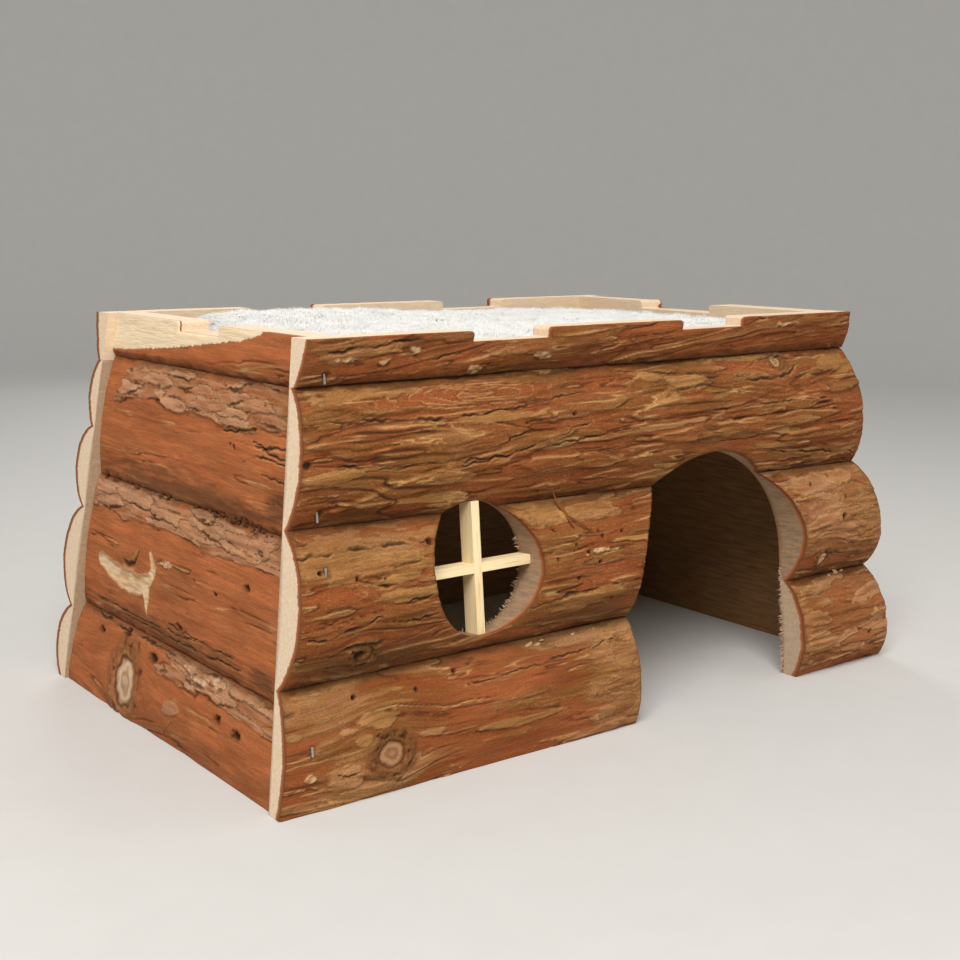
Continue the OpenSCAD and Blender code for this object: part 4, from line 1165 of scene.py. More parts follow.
# Looks of the photographed walls. The marks are laid where the photograph shows them
LOOKS = {
    "front_parapet": Look(11, tilt=0.10, cracks=-0.1, tan=-0.3, warm=0.2, relief=0.8, marks=[
        ("fleck", (-152, 190, 6, 1.3), (-121, 193, 4, 1.6), (-135, 189, 2.6, 1.4), (-86, 182.5, 4, 1.4),
         (-47, 187, 4, 1.8), (122, 195, 5, 1.3)),
        ("plate", (-150, 194, 22, 4.0, 0.75), (-70, 190, 10, 3, 0.7)),
        ("crack", ([(-165, 193), (-140, 195.5), (-118, 197)], 0.6), ([(-112, 187), (-95, 190)], 0.5)),
        ("stain", (-120, 196, 8, 2.5)),
    ]),
    "front_upper_slab": Look(23, swell=0.45, cracks=-0.1, tan=-0.2, relief=0.85,
        ridges=FRONT_UPPER_RIDGES, marks=[
        ("swirl", (-88, 170.5, 50, 5.4)),
        ("plate", (-80, 160.2, 20, 2.8, 0.95), (-150, 175.5, 30, 3.0, 0.9), (-165, 141, 14, 3.0, 0.9),
         (20, 172, 7, 2.6, 1.05), (46, 168.5, 17, 2.6, 1.0), (48, 161, 16, 3.0, -0.5),
         (138, 160, 14, 4.0, -0.5), (165, 171, 16, 5, 0.9)),
        ("stain", (-155, 123.5, 18, 2.5), (63, 170, 4, 3), (-130, 176.5, 9, 1.6)),
        ("crack", ([(-180, 165), (-140, 163.5), (-98, 161.5), (-60, 164.5), (-20, 169)], 0.6),
         ([(-182, 147.5), (-160, 145), (-147, 142.5), (-110, 142), (-72, 142.5)], 0.6),
         ([(-118, 138.5), (-72, 142.5), (-35, 151), (-20, 153)], 0.5),
         ([(-55, 144), (-20, 146.5), (4, 148)], 0.45), ([(0, 178), (20, 175), (60, 171)], 0.6),
         ([(60, 153), (105, 153.5), (150, 154)], 0.6), ([(105, 127), (140, 124), (180, 120)], 0.6)),
        ("hole", (-179, 147.5, 1.8), (-33, 158, 0.9)),
        ("plate", (104, 173.0, 22, 4.5, -0.5)),
        ("knot", (117, 175.0, 5.0, 0.25)),
        ("crack", ([(82, 169), (95, 166.5), (110, 166), (124, 168.5), (135, 173)], 0.7),
         ([(82, 169), (95, 174), (108, 177.5), (125, 178.3), (135, 173)], 0.5)),
    ]),
    "front_window_slab": Look(37, cracks=-0.15, tan=-0.12, relief=0.85, marks=[
        ("plate", (-152, 106, 40, 10, 0.85), (-50, 111, 14, 5, 0.9), (-22, 110, 20, 4, 0.75),
         (-30, 70, 22, 4, 0.8)),
        ("crack", ([(-188, 109), (-160, 109.5), (-119, 109)], 0.6)),
        ("hole", (-119, 108.5, 1.3), (-177.5, 102.5, 1.0), (-160, 98, 0.8), (-146, 96, 0.8)),
        ("crack", ([(-141, 100), (-127, 101)], 0.55), ([(-160, 97.5), (-150, 94), (-124, 93)], 0.8)),
        ("plate", (-140, 95, 12, 1.6, 1.0)),
        ("crack", ([(-138, 84), (-122, 85)], 0.6), ([(-136, 75), (-119, 77)], 0.55)),
        ("knot", (-157, 64, 6.0, 0.0)),
        ("hole", (-159, 63.5, 1.8, 1.6)),
        # The knot's patch is a stain; the long patches along the slab's lower edge are dirt and painted
        # shade
        ("stain", (-157, 64, 11, 8, 0.8), (-150, 57, 44, 5), (-152, 62, 46, 10, 0.7), (-30, 59, 34, 5),
         (-28, 61, 40, 8, 0.65)),
        ("crack", ([(-172, 66), (-160, 69), (-148, 68)], 0.8),
         ([(-175, 60), (-160, 58), (-146, 60)], 0.8), ([(-140, 66), (-120, 70)], 0.7),
         ([(-186, 74), (-166, 76), (-150, 80)], 0.7)),
        ("hole", (-48.5, 104.5, 0.8), (-22, 101, 0.7), (-20.5, 98.5, 0.8), (-7.5, 99.5, 0.7),
         (-38, 96.5, 0.8), (-50.5, 91, 0.8), (-25, 86.5, 0.9), (-37.5, 80, 0.8), (-15, 67, 0.8),
         (-31, 92, 0.8)),
        ("fleck", (-24, 91.5, 6, 1.1)),
        ("crack", ([(-66, 70), (-45, 73), (-12, 75)], 0.65)),
    ]),
    "front_middle_slab_right": Look(41, cracks=-0.05, tan=-0.05, warm=0.3, relief=0.9,
        flakes=[(130, 190, 92, 22, 34, 6.5, 0.9, 0.45, 0.38)], marks=[
        ("knot", (143, 65, 5, 0.0)),
        ("fleck", (143, 65, 2.2, 2)),
        ("stain", (150, 68, 6, 3)),
        ("hole", (137, 106, 0.9), (156, 87, 1.6), (153, 109, 0.8), (160, 97, 0.8)),
        ("stain", (158, 57, 30, 3)),
    ]),
    "front_lower_slab_left": Look(53, wave=0.7, cracks=-0.6, tan=-0.5, sheets=2, relief=0.55, warm=0.2,
        flakes=[(-14, 4, 26, 24, 12, 4.5, 0.5, 0.4, 0.6)], marks=[
        ("dry", (-176, 42, 40, 11, 0.75), (-158, 18, 24, 20, 0.6), (-158, 3, 36, 6, 0.75),
         (-14, 28, 22, 26, 0.7), (-22, 50, 46, 5, 0.9), (-64, 26, 30, 5, 0.5)),
        ("plate", (-152, 34, 10, 3.4, 1.0), (-166, 31.5, 6, 1.7, 1.05), (-159, 26, 4, 3.2, 1.0),
         (-168, 12, 9, 4.2, 0.95), (-155, 2.5, 20, 2.8, 0.95), (-124, 22.5, 7, 1.6, 1.0),
         (-74, 17.5, 28, 2.1, 0.95), (-22, 49.5, 34, 3.2, 0.95), (-20, 2, 26, 2.2, 0.9),
         (-183, 49.5, 8, 1.4, 1.05), (-192, 34.5, 3, 2, 1.0)),
        ("knot", (-145, 17.5, 9.5, 0.15)),
        ("crack", ([(-103, 39), (-70, 40.5), (-6, 45)], 0.4), ([(-173, 14), (-160, 12.5)], 0.4)),
        ("hole", (-106, 46.5, 0.9), (-128, 42.5, 0.9), (-160, 45, 1.0)),
        ("fleck", (-186, 15, 2.2, 1.4)),
    ]),
    "front_lower_slab_right": Look(61, cracks=-0.1, tan=-0.05, warm=0.5, band=7.0, relief=1.0,
        tilt=0.06, flakes=[(130, 192, 30, 20, 34, 7, 0.9, 0.45, 0.42)], marks=[
        ("hole", (181, 17, 1.2)),
    ]),
    "left_parapet": Look(71, wave=0.5, cracks=-0.7, tan=-0.8, sheets=1, relief=0.4, warm=0.95),
    "left_upper_slab": Look(83, wave=0.6, cracks=-0.45, tan=-0.75, sheets=1, relief=0.5, warm=0.95,
        flakes=[(-72, 101, 167, 10, 27, 5.5, 1.4, 0.9, 0.5)], marks=[
        ("crack", ([(58, 141), (76, 146), (101, 144)], 0.5), ([(50, 150), (72, 149), (101, 152)], 0.55),
         ([(76, 137.5), (101, 137)], 0.4), ([(36, 153), (70, 157), (101, 156)], 0.6),
         ([(66, 152), (84, 147.5), (101, 147)], 0.5), ([(-71, 131), (-37, 132)], 0.45)),
        ("hole", (49.5, 146.5, 1.2), (45.5, 147.5, 0.8), (75.5, 149, 1.0)),
        # The first, long patch along the slab's lower edge is painted shade
        ("stain", (-10, 116, 120, 12, 0.95), (91, 123.5, 14, 8)),
    ]),
    "left_middle_slab": Look(97, wave=0.6, cracks=-0.45, tan=-0.75, sheets=1, relief=0.5, warm=0.95,
        flakes=[(-110, 110, 104, 8, 34, 5.5, 1.4, 0.9, 0.66)], marks=[
        ("scar", ([(-86, 70), (-58, 64.5), (-38, 65), (-26, 70), (-22, 76), (-27, 83)], 5.0, 0.6, 0.3),
         ([(-27, 70), (-30, 63), (-29, 52)], 2.8, 1.0, 0.15)),
        ("crack", ([(-60, 75), (-52, 73), (-46, 74), (-41, 82)], 1.5)),
        ("fleck", (-12, 81, 6, 1.8)),
        ("hole", (44.5, 78, 0.9, 1.7), (72.5, 86.5, 1.3, 2.0), (7.5, 54, 1.3, 2.0)),
        ("crack", ([(-93, 49), (-33, 48), (26, 51)], 0.45), ([(-53, 45.5), (6, 46.5), (76, 48)], 0.5),
         ([(-10, 53), (40, 51.5), (95, 52)], 0.4)),
        # The first, long patch along the slab's lower edge is painted shade
        ("stain", (-10, 44, 130, 11, 0.9), (88, 48, 16, 6), (4, 72, 24, 13, 0.4)),
    ]),
    "left_lower_slab": Look(103, wave=0.6, cracks=-0.45, tan=-0.75, sheets=1, relief=0.5, warm=0.9,
        flakes=[(-2, 110, 34.5, 6, 32, 5, 1.2, 0.85, 0.6)], marks=[
        ("knot", (-41, 14.5, 15, 0.6, 1.3)),
        ("fleck", (51, 38, 8, 2.0), (36, 35, 9, 1.6), (24, 37, 5, 1.4)),
        ("plate", (12, 16.5, 8, 4, 0.9)),
        ("hole", (-79, 33, 1.4, 2.0), (-49.5, 38, 1.7, 2.2), (-16, 33, 2.0, 2.0), (58, 23, 1.7, 1.8),
         (77, 21, 1.9, 2.0)),
        ("crack", ([(7, 1), (14, 9)], 0.8), ([(-102, 39.5), (-53, 38.5), (7, 39.5)], 0.6)),
        # The long patch along the slab's lower edge is painted shade
        ("stain", (0, 3, 130, 12, 0.5)),
    ]),
}


def chance_marks(seed, half_l, low, high):
    """Marks by chance, for a slab that the photograph doesn't show."""
    rng = np.random.default_rng(seed)
    middle, half_h = (low + high) / 2, (high - low) / 2

    def spot(reach=0.75):
        return half_l * rng.uniform(-0.9, 0.9), middle + half_h * rng.uniform(-reach, reach)

    def crack(reach=24, width=0.7):
        x, s = spot()
        bend, end = rng.normal(0, 2, 2)
        return [(x - reach, s), (x, s + bend), (x + reach, s + end)], width

    marks = [
        ("dry", *[(*spot(), rng.uniform(18, 42), 0.45 * half_h, rng.uniform(0.6, 0.8))
                  for _ in range(3)]),
        ("plate", *[(*spot(), rng.uniform(8, 26), rng.uniform(2.0, 3.6), tan)
                    for tan in (0.9, 1.0, 0.95, -0.4, -0.5)]),
        ("hole", *[(*spot(), rng.uniform(0.9, 1.6)) for _ in range(5)]),
        ("fleck", *[(*spot(), rng.uniform(3, 6), rng.uniform(1.3, 1.9)) for _ in range(2)]),
        ("crack", *[crack() for _ in range(3)]),
    ]
    if half_h > 15:
        marks.append(("knot", (*spot(0.3), rng.uniform(6, 9), rng.uniform(0, 0.4))))
    return marks


def look_for(node, seed, half_l, low, high):
    """The look of a slab, by chance where the photograph doesn't show it."""
    if node in LOOKS:
        return LOOKS[node]
    if node == "right_parapet":
        return LOOKS["left_parapet"]
    marks = chance_marks(seed, half_l, low, high)
    if node.startswith("back"):
        return Look(seed, cracks=-0.1, tan=-0.15, warm=0.15, relief=0.9, marks=marks)
    flakes = [(-110, 110, high - 9, 8, 30, 5.5, 1.3, 0.9, 0.6)]
    return Look(seed, wave=0.6, cracks=-0.35, tan=-0.6, sheets=2, relief=0.6, warm=0.9,
                flakes=flakes, marks=marks)


def courses(prefix, wall, names, heights, cuts=(), step=PLAIN_STEP):
    """Slabs of a wall from the floor up. A height is one number, or one for each end."""
    pairs = [h if isinstance(h, tuple) else (h, h) for h in heights]
    for i, name in enumerate(names):
        node = f"{prefix}_{name}"
        low, high = np.mean(pairs[i]), np.mean(pairs[i + 1])
        look = look_for(node, 200 + 17 * i + len(prefix), wall.half(low, 0.0), low, high)
        yield Slab(node, wall, pairs[i], pairs[i + 1], look, step=step,
                   cuts=cuts if name == "parapet" else ())


# How far the slabs beside the doorway reach in under its arch, which then cuts them
ARCH_SPARE = 30.0


def front_slabs():
    """The front wall is parted by the doorway below its upper slab."""
    top = WALL_TOP - FRONT_PARAPET_H
    foot, mid = (FRONT_LOW, FRONT_LOW), (FRONT_MID_LEFT, FRONT_MID_RIGHT)
    jambs = (DOOR_X - DOOR_R, DOOR_X + DOOR_R)
    left_x, right_x = jambs[0] + ARCH_SPARE, jambs[1] - ARCH_SPARE
    left_s, right_s = np.interp((left_x, right_x), (-WALL_L_BASE / 2, WALL_L_BASE / 2), mid)
    both = [door_gap, window_gap]

    def slab(name, low, high, **cut):
        return Slab(name, FRONT, low, high, LOOKS[name], **cut)

    return [
        slab("front_parapet", (top, top), (WALL_TOP, WALL_TOP), cuts=LONG_NOTCHES),
        slab("front_upper_slab", mid, (top, top), cuts=both),
        slab("front_window_slab", foot, (mid[0], left_s), ends=(None, left_x), cuts=both),
        slab("front_middle_slab_right", foot, (right_s, mid[1]), ends=(right_x, None), cuts=[door_gap]),
        slab("front_lower_slab_left", (0, 0), foot, ends=(None, jambs[0])),
        slab("front_lower_slab_right", (0, 0), foot, ends=(jambs[1], None)),
    ]


def make_walls():
    """All slabs of the four walls."""
    back_names = ("lower_slab", "middle_slab", "shoulder_slab", "upper_slab", "parapet")
    back_heights = (0, BACK_LOW, BACK_MID, BACK_SHOULDER, WALL_TOP - BACK_PARAPET_H, WALL_TOP)
    end_names = ("lower_slab", "middle_slab", "upper_slab", "parapet")
    end_heights = (0, END_LOW, END_MID, END_TOP - END_PARAPET_H, END_TOP)
    slabs = front_slabs()
    slabs += courses("back", BACK, back_names, back_heights, LONG_NOTCHES)
    slabs += courses("left", LEFT, end_names, end_heights, LEFT_NOTCHES, FINE_STEP)
    slabs += courses("right", RIGHT, end_names, end_heights, RIGHT_NOTCHES)
    for slab in slabs:
        make_slab(slab)


def dress_packed_nodes():
    """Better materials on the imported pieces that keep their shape."""
    for name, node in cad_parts.items():
        if name == "window_bar_upright":
            look = UPRIGHT_WOOD
        elif name.startswith(("roof_panel", "roof_batten", "window_bar")):
            look = PLAIN_WOOD
        elif name.endswith("staples"):
            look = STEEL
        else:
            continue
        node.data.materials.clear()
        node.data.materials.append(look)


# Plush bed, in millimetres: how square its plan is, its sides' share of its height and their rounding
BED_SQUARE, BED_SIDE_SHARE, BED_ROUND = 7, 0.75, 4.0
# Rise of its top at the back left: height, middle, and reach along X and Y
BED_RISE, BED_RISE_X, BED_RISE_Y, BED_RISE_L, BED_RISE_W = 6.5, -105.0, 55.0, 85.0, 55.0
# Points round the pad, rows up its sides, and rings in over its top
BED_AROUND, BED_ROWS, BED_RINGS = 220, 9, 46
# Fibres: count, pieces they are shared out to, length, width and distance kept from the walls
PILE_COUNT, PILE_PATCHES = ((76000, 4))
PILE_L, PILE_W, PILE_CLEAR = 5.6, 0.55, 0.4
# Depth of the fibres' roots in the pad, and how far down its sides they go
PILE_ROOT, PILE_DOWN = 0.8, 0.85
# Share of the bed's plan past which fibres stand on its sides, and how much longer those at its edge
# are and how far they lean out
PILE_EDGE, FRINGE_LONGER, FRINGE_LEAN = 0.965, 0.5, 0.8


def bed_size():
    """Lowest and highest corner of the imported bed, in millimetres."""
    low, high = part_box("plush_bed")
    return np.array(low) / MM, np.array(high) / MM


def bed_share(x, y):
    """0 in the middle of the bed's plan, 1 on its rounded outline."""
    low, high = bed_size()
    half = (high - low) / 2
    return (np.abs(x / half[0]) ** BED_SQUARE + np.abs(y / half[1]) ** BED_SQUARE) ** (1 / BED_SQUARE)


def bed_top(x, y):
    """Height of the pad's top over its plan, with soft lumps and a rise at the back left."""
    low, high = bed_size()
    share = bed_share(x, y)
    tall = high[2] - low[2]
    crown = tall * (BED_SIDE_SHARE + (1 - BED_SIDE_SHARE) * (1 - np.clip(share, 0, 1) ** 3))
    lumps = 1.1 * noise(x / 26, y / 26, 300) + 0.5 * noise(x / 9, y / 9, 301)
    inside = smooth(1.0, 0.85, share)
    away = ((x - BED_RISE_X) / BED_RISE_L) ** 2 + ((y - BED_RISE_Y) / BED_RISE_W) ** 2
    rise = BED_RISE * np.exp(-away) * (0.7 + 0.3 * inside)
    return low[2] + crown - BED_ROUND * smooth(0.9, 1.0, share) + lumps * inside + rise


def make_plush_pad():
    """Stuffed pad with a crowned, lumpy top and rounded edges."""
    low, high = bed_size()
    half = (high - low) / 2
    turn = np.arange(BED_AROUND) * math.tau / BED_AROUND
    power = 2 / BED_SQUARE
    plan = np.stack([np.sign(np.cos(turn)) * np.abs(np.cos(turn)) ** power * half[0],
                     np.sign(np.sin(turn)) * np.abs(np.sin(turn)) ** power * half[1]], -1)
    rings = []
    for k in np.linspace(0, 1, BED_ROWS):
        bulge = BED_ROUND * (2 * k - 1) ** 4 + 1.0
        ring = plan * (1 - bulge / half[:2])
        z = low[2] + k * (bed_top(ring[:, 0], ring[:, 1]) - low[2])
        rings.append(np.column_stack([ring, z]))
    edge = rings[-1][:, :2]
    for share in np.linspace(1, 0, BED_RINGS)[1:-1]:
        ring = edge * share
        rings.append(np.column_stack([ring, bed_top(ring[:, 0], ring[:, 1])]))
    middle_top = float(bed_top(np.zeros(1), np.zeros(1))[0])
    points = np.concatenate(rings + [[[0, 0, low[2]], [0, 0, middle_top]]])
    k, middle = np.arange(BED_AROUND), len(rings) * BED_AROUND
    after = (k + 1) % BED_AROUND
    base = np.stack([after, k, np.full(BED_AROUND, middle)], -1)
    last = middle - BED_AROUND
    top = np.stack([last + k, last + after, np.full(BED_AROUND, middle + 1)], -1)
    faces = [ring_quads(BED_AROUND, len(rings)), base, top]
    pad = new_mesh("plush_pad", points * MM, faces, [PLUSH])
    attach(pad, "bed")
    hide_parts("plush_bed")


def spikes(root, middle, tip, width):
    """Closed three-sided fibres through a root, a middle and a tip: their points and faces."""
    count = len(root)
    way = tip - root
    side = np.cross(way, np.array([0.37, 0.61, 0.7]))
    side /= np.linalg.norm(side, axis=1)[:, None]
    other = np.cross(way, side)
    other /= np.linalg.norm(other, axis=1)[:, None]
    turns = np.arange(3) * math.tau / 3
    ring = [side * math.cos(a) + other * math.sin(a) for a in turns]
    points = [root + r * width[:, None] / 2 for r in ring]
    points += [middle + r * width[:, None] * 0.42 for r in ring]
    points = np.stack(points + [tip], 1).reshape(-1, 3)
    quads = [(a, (a + 1) % 3, 3 + (a + 1) % 3, 3 + a) for a in range(3)]
    tris = [(3 + a, 3 + (a + 1) % 3, 6) for a in range(3)] + [(2, 1, 0)]
    start = (np.arange(count) * 7)[:, None, None]
    return points, (start + np.array(quads)).reshape(-1, 4), (start + np.array(tris)).reshape(-1, 3)


def make_plush_pile():
    """White fibres in leaning tufts over the pad, and standing out from its sides."""
    low, high = bed_size()
    half = (high - low)[:2] / 2
    room = np.array([WALL_L_TOP / 2 - END_INSET, ROOM_D_TOP / 2]) - PILE_CLEAR
    rng = np.random.default_rng(5)
    plan = rng.uniform(-1, 1, (PILE_COUNT, 2)) * (half - PILE_ROOT)
    share = bed_share(*plan.T)
    on_side = share > PILE_EDGE
    plan = plan * np.minimum(1, PILE_EDGE / share)[:, None]
    fringe = smooth(0.8, 1.0, share)[:, None]
    outward = np.sign(plan) * np.abs(plan / half) ** (BED_SQUARE - 1)
    outward = outward / np.maximum(np.linalg.norm(outward, axis=1), 1e-9)[:, None]
    x, y = plan.T
    root = np.column_stack([plan, bed_top(x, y) - PILE_ROOT])
    down = np.where(on_side, rng.uniform(0.0, PILE_DOWN, PILE_COUNT), 0.0)
    root[:, 2] -= down * (root[:, 2] - low[2])
    rise = np.where(on_side, 0.35 - 0.3 * down, 1.0)
    lean = np.stack([noise(x / 15, y / 15, seed) + 0.5 * noise(x / 5, y / 5, seed + 1)
                     for seed in (310, 312)], -1)
    lean = lean * 0.6 + rng.normal(0, 0.22, lean.shape) + FRINGE_LEAN * fringe * outward
    length = PILE_L * (0.75 + 0.3 * noise(x / 11, y / 11, 314)) * rng.uniform(0.7, 1.15, PILE_COUNT)
    length = length * (1 + FRINGE_LONGER * fringe[:, 0])
    bend = np.where(on_side, 0.7, 0.3)[:, None]
    middle = root + np.column_stack([lean * bend, rise]) * (length * 0.55)[:, None]
    tip = root + np.column_stack([lean * 0.95, rise * (1 - 0.35 * np.hypot(*lean.T))]) * length[:, None]
    for points in (root, middle, tip):
        points[:, :2] = np.clip(points[:, :2], -room, room)
    for patch in range(PILE_PATCHES):
        mine = slice(patch, None, PILE_PATCHES)
        width = np.full(len(root[mine]), PILE_W)
        points, quads, tris = spikes(root[mine], middle[mine], tip[mine], width)
        pile = new_mesh(f"plush_pile_{patch + 1}", points * MM, [quads, tris], [PLUSH])
        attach(pile, "bed")


def unit_lump():
    """Points and faces of a small angular body."""
    shape = bmesh.new()
    bmesh.ops.create_icosphere(shape, subdivisions=1, radius=1.0)
    points = np.array([v.co[:] for v in shape.verts])
    faces = np.array([[v.index for v in f.verts] for f in shape.faces])
    shape.free()
    return points, faces


def make_chips(name, wall, spots, seed, **fields):
    """Bits of bark in a joint. A spot is x, s and t, then half the length, height and thickness."""
    base, base_faces = unit_lump()
    rng = np.random.default_rng(seed)
    points, faces = [], []
    for k, (x, s, t, half_l, half_h, half_t) in enumerate(spots):
        rough = 1 + 0.45 * noise(base[:, 0] * 1.7 + 9 * k, base[:, 1] * 1.7 + base[:, 2] * 2.3, seed)
        p = base * rough[:, None] * (half_l, half_h, half_t)
        turn = rng.normal(0, 0.35)
        along = p[:, 0] * math.cos(turn) - p[:, 1] * math.sin(turn)
        across = p[:, 0] * math.sin(turn) + p[:, 1] * math.cos(turn)
        points.append(np.column_stack([x + along, s + across, t + p[:, 2]]))
        faces.append(base_faces + k * len(base))
    points = np.concatenate(points)
    piece = new_mesh(name, wall.place(*points.T), [np.concatenate(faces)], [BARK], flat=(0,))
    add_plain_fields(piece, **fields)
    add_field(piece, "grain", points / 10)
    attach(piece, "house")


def on_face(node, x, s, off=0.0):
    """x, s and t of a point on a slab's smooth bark face, or off it."""
    return x, s, float(FACES[node](np.array([float(x)]), np.array([float(s)]))[0]) + off


# Pale chips on the upper edges of front slabs: x, s and half their length
JOINT_CHIPS = {
    "front_lower_slab_left": ((-61, 50.6, 2.6), (-56, 49.8, 2.0), (-53, 51.2, 1.4), (-20, 51, 1.2),
                              (-34, 50.8, 1.6)),
    "front_lower_slab_right": ((165, 52, 3.8), (158, 51.5, 2.2), (170.5, 52.6, 2.0)),
}
# Count of the dark crumbs on the left wall
CRUMBS = 46


def make_groove_debris():
    """Dark crumbs along the joint of the left wall's upper slabs, and pale chips in the front joints."""
    rng = np.random.default_rng(21)
    spots = []
    for _ in range(CRUMBS):
        x = rng.normal(52, 24) if rng.random() < 0.75 else rng.uniform(-96, 0)
        x = min(x, 98.0)
        s = END_MID + rng.normal(0.6, 1.3)
        size = rng.uniform(0.4, 1.3)
        t = on_face("left_upper_slab", x, END_MID + 0.3)[2] + rng.uniform(-0.5, 0.2) * size
        spots.append((x, s, t, rng.uniform(1.4, 3.0) * size, 0.8 * size, 0.6 * size))
    make_chips("joint_crumbs", LEFT, spots, 22, dirt=0.95, warm=0.3, outer=0.4, crack=0.45)
    spots = [(*on_face(node, x, s, 0.4), half_l, 0.45 * half_l, 0.6)
             for node, chips in JOINT_CHIPS.items() for x, s, half_l in chips]
    make_chips("joint_chips", FRONT, spots, 23, outer=1.0, bare=0.3)


# Points round a loose strip of bark, and rows along it
STRIP_AROUND, STRIP_ROWS = 8, 15


def make_strip(name, wall, path, width, thick):
    """A loose strip of bark bent along a path of x, s and t, thin at both ends."""
    path = np.array(path, float)
    along = np.linspace(0, len(path) - 1, STRIP_ROWS)
    line = np.column_stack([np.interp(along, range(len(path)), path[:, k]) for k in range(3)])
    line[1:-1] = (line[:-2] + 2 * line[1:-1] + line[2:]) / 4
    way = np.gradient(line, axis=0)
    way /= np.linalg.norm(way, axis=1)[:, None]
    side = np.cross(way, (0, 0, 1.0))
    side /= np.linalg.norm(side, axis=1)[:, None]
    top = np.cross(side, way)
    taper = np.sin(np.linspace(0.12, math.pi - 0.12, STRIP_ROWS))[:, None]
    turns = np.arange(STRIP_AROUND) * math.tau / STRIP_AROUND
    rings = [line + taper * (side * math.cos(a) * width / 2 + top * math.sin(a) * thick / 2)
             for a in turns]
    points = np.stack(rings, 1).reshape(-1, 3)
    k = np.arange(STRIP_AROUND)
    caps = np.array([k, (STRIP_ROWS - 1) * STRIP_AROUND + k[::-1]])
    quads = ring_quads(STRIP_AROUND, STRIP_ROWS)[:, OVER]
    piece = new_mesh(name, wall.place(*points.T), [quads, caps], [BARK])
    add_plain_fields(piece, outer=0.25, dirt=0.3)
    add_field(piece, "grain", points / 10)
    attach(piece, "house")


# Loose strips of bark beside the window: width, thickness, then slab, x, s and height off its bark
LOOSE_STRIPS = (
    (2.0, 1.0, (("front_upper_slab", -42.5, 122, 0.2), ("front_window_slab", -41, 117, 2.6),
                ("front_window_slab", -39.5, 112, 1.6), ("front_window_slab", -38, 107, 0.9),
                ("front_window_slab", -37, 104, 0.4))),
    (1.0, 0.7, (("front_window_slab", -40, 112, 0.7), ("front_window_slab", -36, 108, 1.5),
                ("front_window_slab", -30.5, 104, 1.4), ("front_window_slab", -27, 101, 0.9))),
)


def make_loose_strips():
    """Two strips of bark that hang over the joint beside the window."""
    for k, (width, thick, spots) in enumerate(LOOSE_STRIPS):
        make_strip(f"loose_strip_{k + 1}", FRONT, [on_face(*spot) for spot in spots], width, thick)


# Splinters along the doorway's jamb and round the window
DOOR_SPLINTERS, WINDOW_SPLINTERS = ((150, 120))


def make_splinters():
    """Frayed fibres along the inner edges of the doorway's right jamb and the window."""
    rng = np.random.default_rng(31)
    roots, tips = [], []
    for _ in range(DOOR_SPLINTERS):
        s = rng.uniform(2, 60)
        x = DOOR_X + DOOR_R
        t = rng.uniform(0.1, 1.6)
        reach = rng.uniform(0.8, 3.2) * (1.2 - s / 80)
        roots.append((x + 0.3, s, t))
        tips.append((x - reach, s + rng.normal(0, 0.8), t - rng.uniform(-0.2, 1.6)))
    for _ in range(WINDOW_SPLINTERS):
        turn = rng.uniform(-1.75, 0.35)
        r, t = WINDOW_R, rng.uniform(0.1, 2.0)
        reach = rng.uniform(0.6, 3.0)
        lean = turn + rng.normal(0, 0.25)
        root_r = r + 0.3
        roots.append((WINDOW_X + root_r * math.cos(turn), WINDOW_S + root_r * math.sin(turn), t))
        tips.append((WINDOW_X + r * math.cos(turn) - reach * math.cos(lean),
                     WINDOW_S + r * math.sin(turn) - reach * math.sin(lean), t - rng.uniform(-0.3, 1.0)))
    roots, tips = np.array(roots), np.array(tips)
    middles = roots * 0.5 + tips * 0.5 + rng.normal(0, 0.12, roots.shape)
    points, quads, tris = spikes(roots, middles, tips, rng.uniform(0.25, 0.5, len(roots)))
    piece = new_mesh("cut_edge_splinters", FRONT.place(*points.T), [quads, tris], [CUT_WOOD])
    add_plain_fields(piece, depth=9.0, dirt=0.1)
    add_field(piece, "grain", points / 10)
    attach(piece, "house")


# Camera, fitted to the photograph: focal length on a 36 mm sensor, turn, pitch, roll and place
CAMERA_LENS = 53.21
CAMERA_TURN, CAMERA_PITCH, CAMERA_ROLL = 0.6515, 0.1793, 0.0052
CAMERA_PLACE = (-472.9, -619.1, 247.7)


def make_camera():
    """Camera at the photograph's angle."""
    data = bpy.data.cameras.new("camera")
    data.lens, data.sensor_width, data.clip_start = CAMERA_LENS, 36.0, 0.01
    camera = bpy.data.objects.new("camera", data)
    bpy.context.scene.collection.objects.link(camera)
    ahead = Vector((math.sin(CAMERA_TURN) * math.cos(CAMERA_PITCH),
                    math.cos(CAMERA_TURN) * math.cos(CAMERA_PITCH), -math.sin(CAMERA_PITCH)))
    right = Vector((math.cos(CAMERA_TURN), -math.sin(CAMERA_TURN), 0))
    up = right.cross(ahead)
    roll_right = right * math.cos(CAMERA_ROLL) + up * math.sin(CAMERA_ROLL)
    roll_up = up * math.cos(CAMERA_ROLL) - right * math.sin(CAMERA_ROLL)
    camera.matrix_world = Matrix.Translation(Vector(CAMERA_PLACE) * MM) @ Matrix(
        (roll_right, roll_up, -ahead)).transposed().to_4x4()
    bpy.context.scene.camera = camera


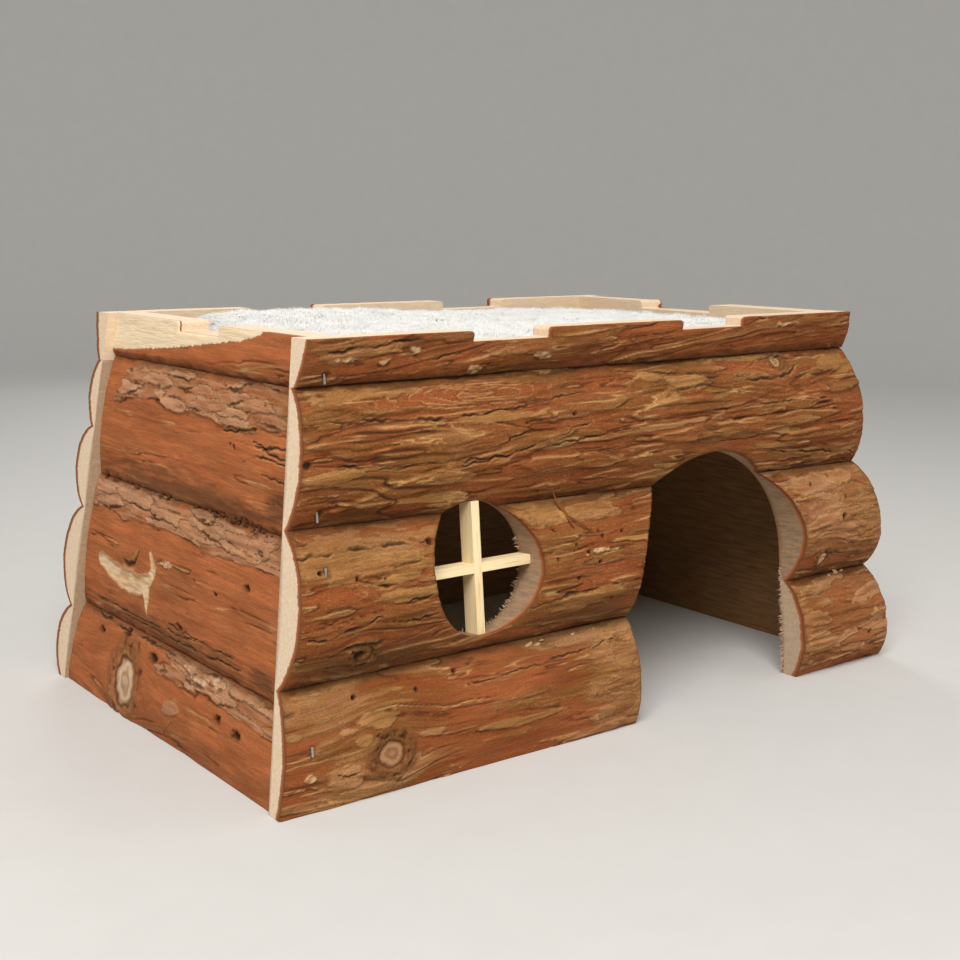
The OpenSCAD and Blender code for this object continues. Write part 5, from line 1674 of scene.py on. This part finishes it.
# Lights, in metres and watts: name, place, size, power, colour and spread, and the point they aim at
LIGHTS = (
    ("key", (-0.8, -0.9, 1.45), 1.1, 38.0, (1.0, 0.97, 0.93), math.pi),
    ("fill", (1.3, -0.9, 0.8), 1.4, 5.0, (1.0, 0.98, 0.96), math.pi),
    ("back", (0.7, 1.7, 0.6), 0.8, 1.4, (1.0, 0.98, 0.96), 1.0),
)
LIGHT_AIM = (0, 0, 0.09)
WORLD_COLOUR, WORLD_STRENGTH = (0.94, 0.94, 0.94, 1.0), 0.36
# Floor, in metres: radius of its flat middle and of the curve round it, height of its edge, and points
FLOOR_R, FLOOR_CURVE, FLOOR_TOP, FLOOR_AROUND = 1.6, 1.0, 1.6, 96


def area_light(name, place, size, power, colour, spread):
    """A soft light that aims at the house."""
    data = bpy.data.lights.new(name, "AREA")
    data.size, data.energy, data.color, data.spread = size, power, colour, spread
    light = bpy.data.objects.new(name, data)
    light.location = place
    light.rotation_euler = (Vector(LIGHT_AIM) - light.location).to_track_quat("-Z", "Y").to_euler()
    bpy.context.scene.collection.objects.link(light)


def make_floor():
    """Pale floor that curves up all round."""
    profile = [(FLOOR_R, 0)]
    profile += [(FLOOR_R + FLOOR_CURVE * math.sin(a), FLOOR_CURVE - FLOOR_CURVE * math.cos(a))
                for a in np.linspace(0.1, math.pi / 2, 12)]
    profile.append((FLOOR_R + FLOOR_CURVE, FLOOR_TOP))
    k = np.arange(FLOOR_AROUND)
    angle = k * math.tau / FLOOR_AROUND
    rings = [np.column_stack([r * np.cos(angle), r * np.sin(angle), np.full(FLOOR_AROUND, z)])
             for r, z in profile]
    points = np.concatenate([[[0, 0, 0]]] + rings)
    fan = np.stack([np.zeros(FLOOR_AROUND, int), 1 + k, 1 + (k + 1) % FLOOR_AROUND], -1)
    quads = 1 + ring_quads(FLOOR_AROUND, len(rings))[:, OVER]
    new_mesh("studio_floor", points, [fan, quads], [floor_paint()])


def make_studio():
    """A soft key light from the upper left, weak fill and back lights, and an even pale world."""
    make_floor()
    for light in LIGHTS:
        area_light(*light)
    world = bpy.data.worlds.new("studio")
    world.use_nodes = True
    background = world.node_tree.nodes["Background"].inputs
    background["Color"].default_value = WORLD_COLOUR
    background["Strength"].default_value = WORLD_STRENGTH
    bpy.context.scene.world = world
    bpy.context.scene.view_settings.view_transform = "Standard"


make_camera()
make_studio()
make_walls()
dress_packed_nodes()
make_plush_pad()
make_plush_pile()
make_groove_debris()
make_loose_strips()
make_splinters()
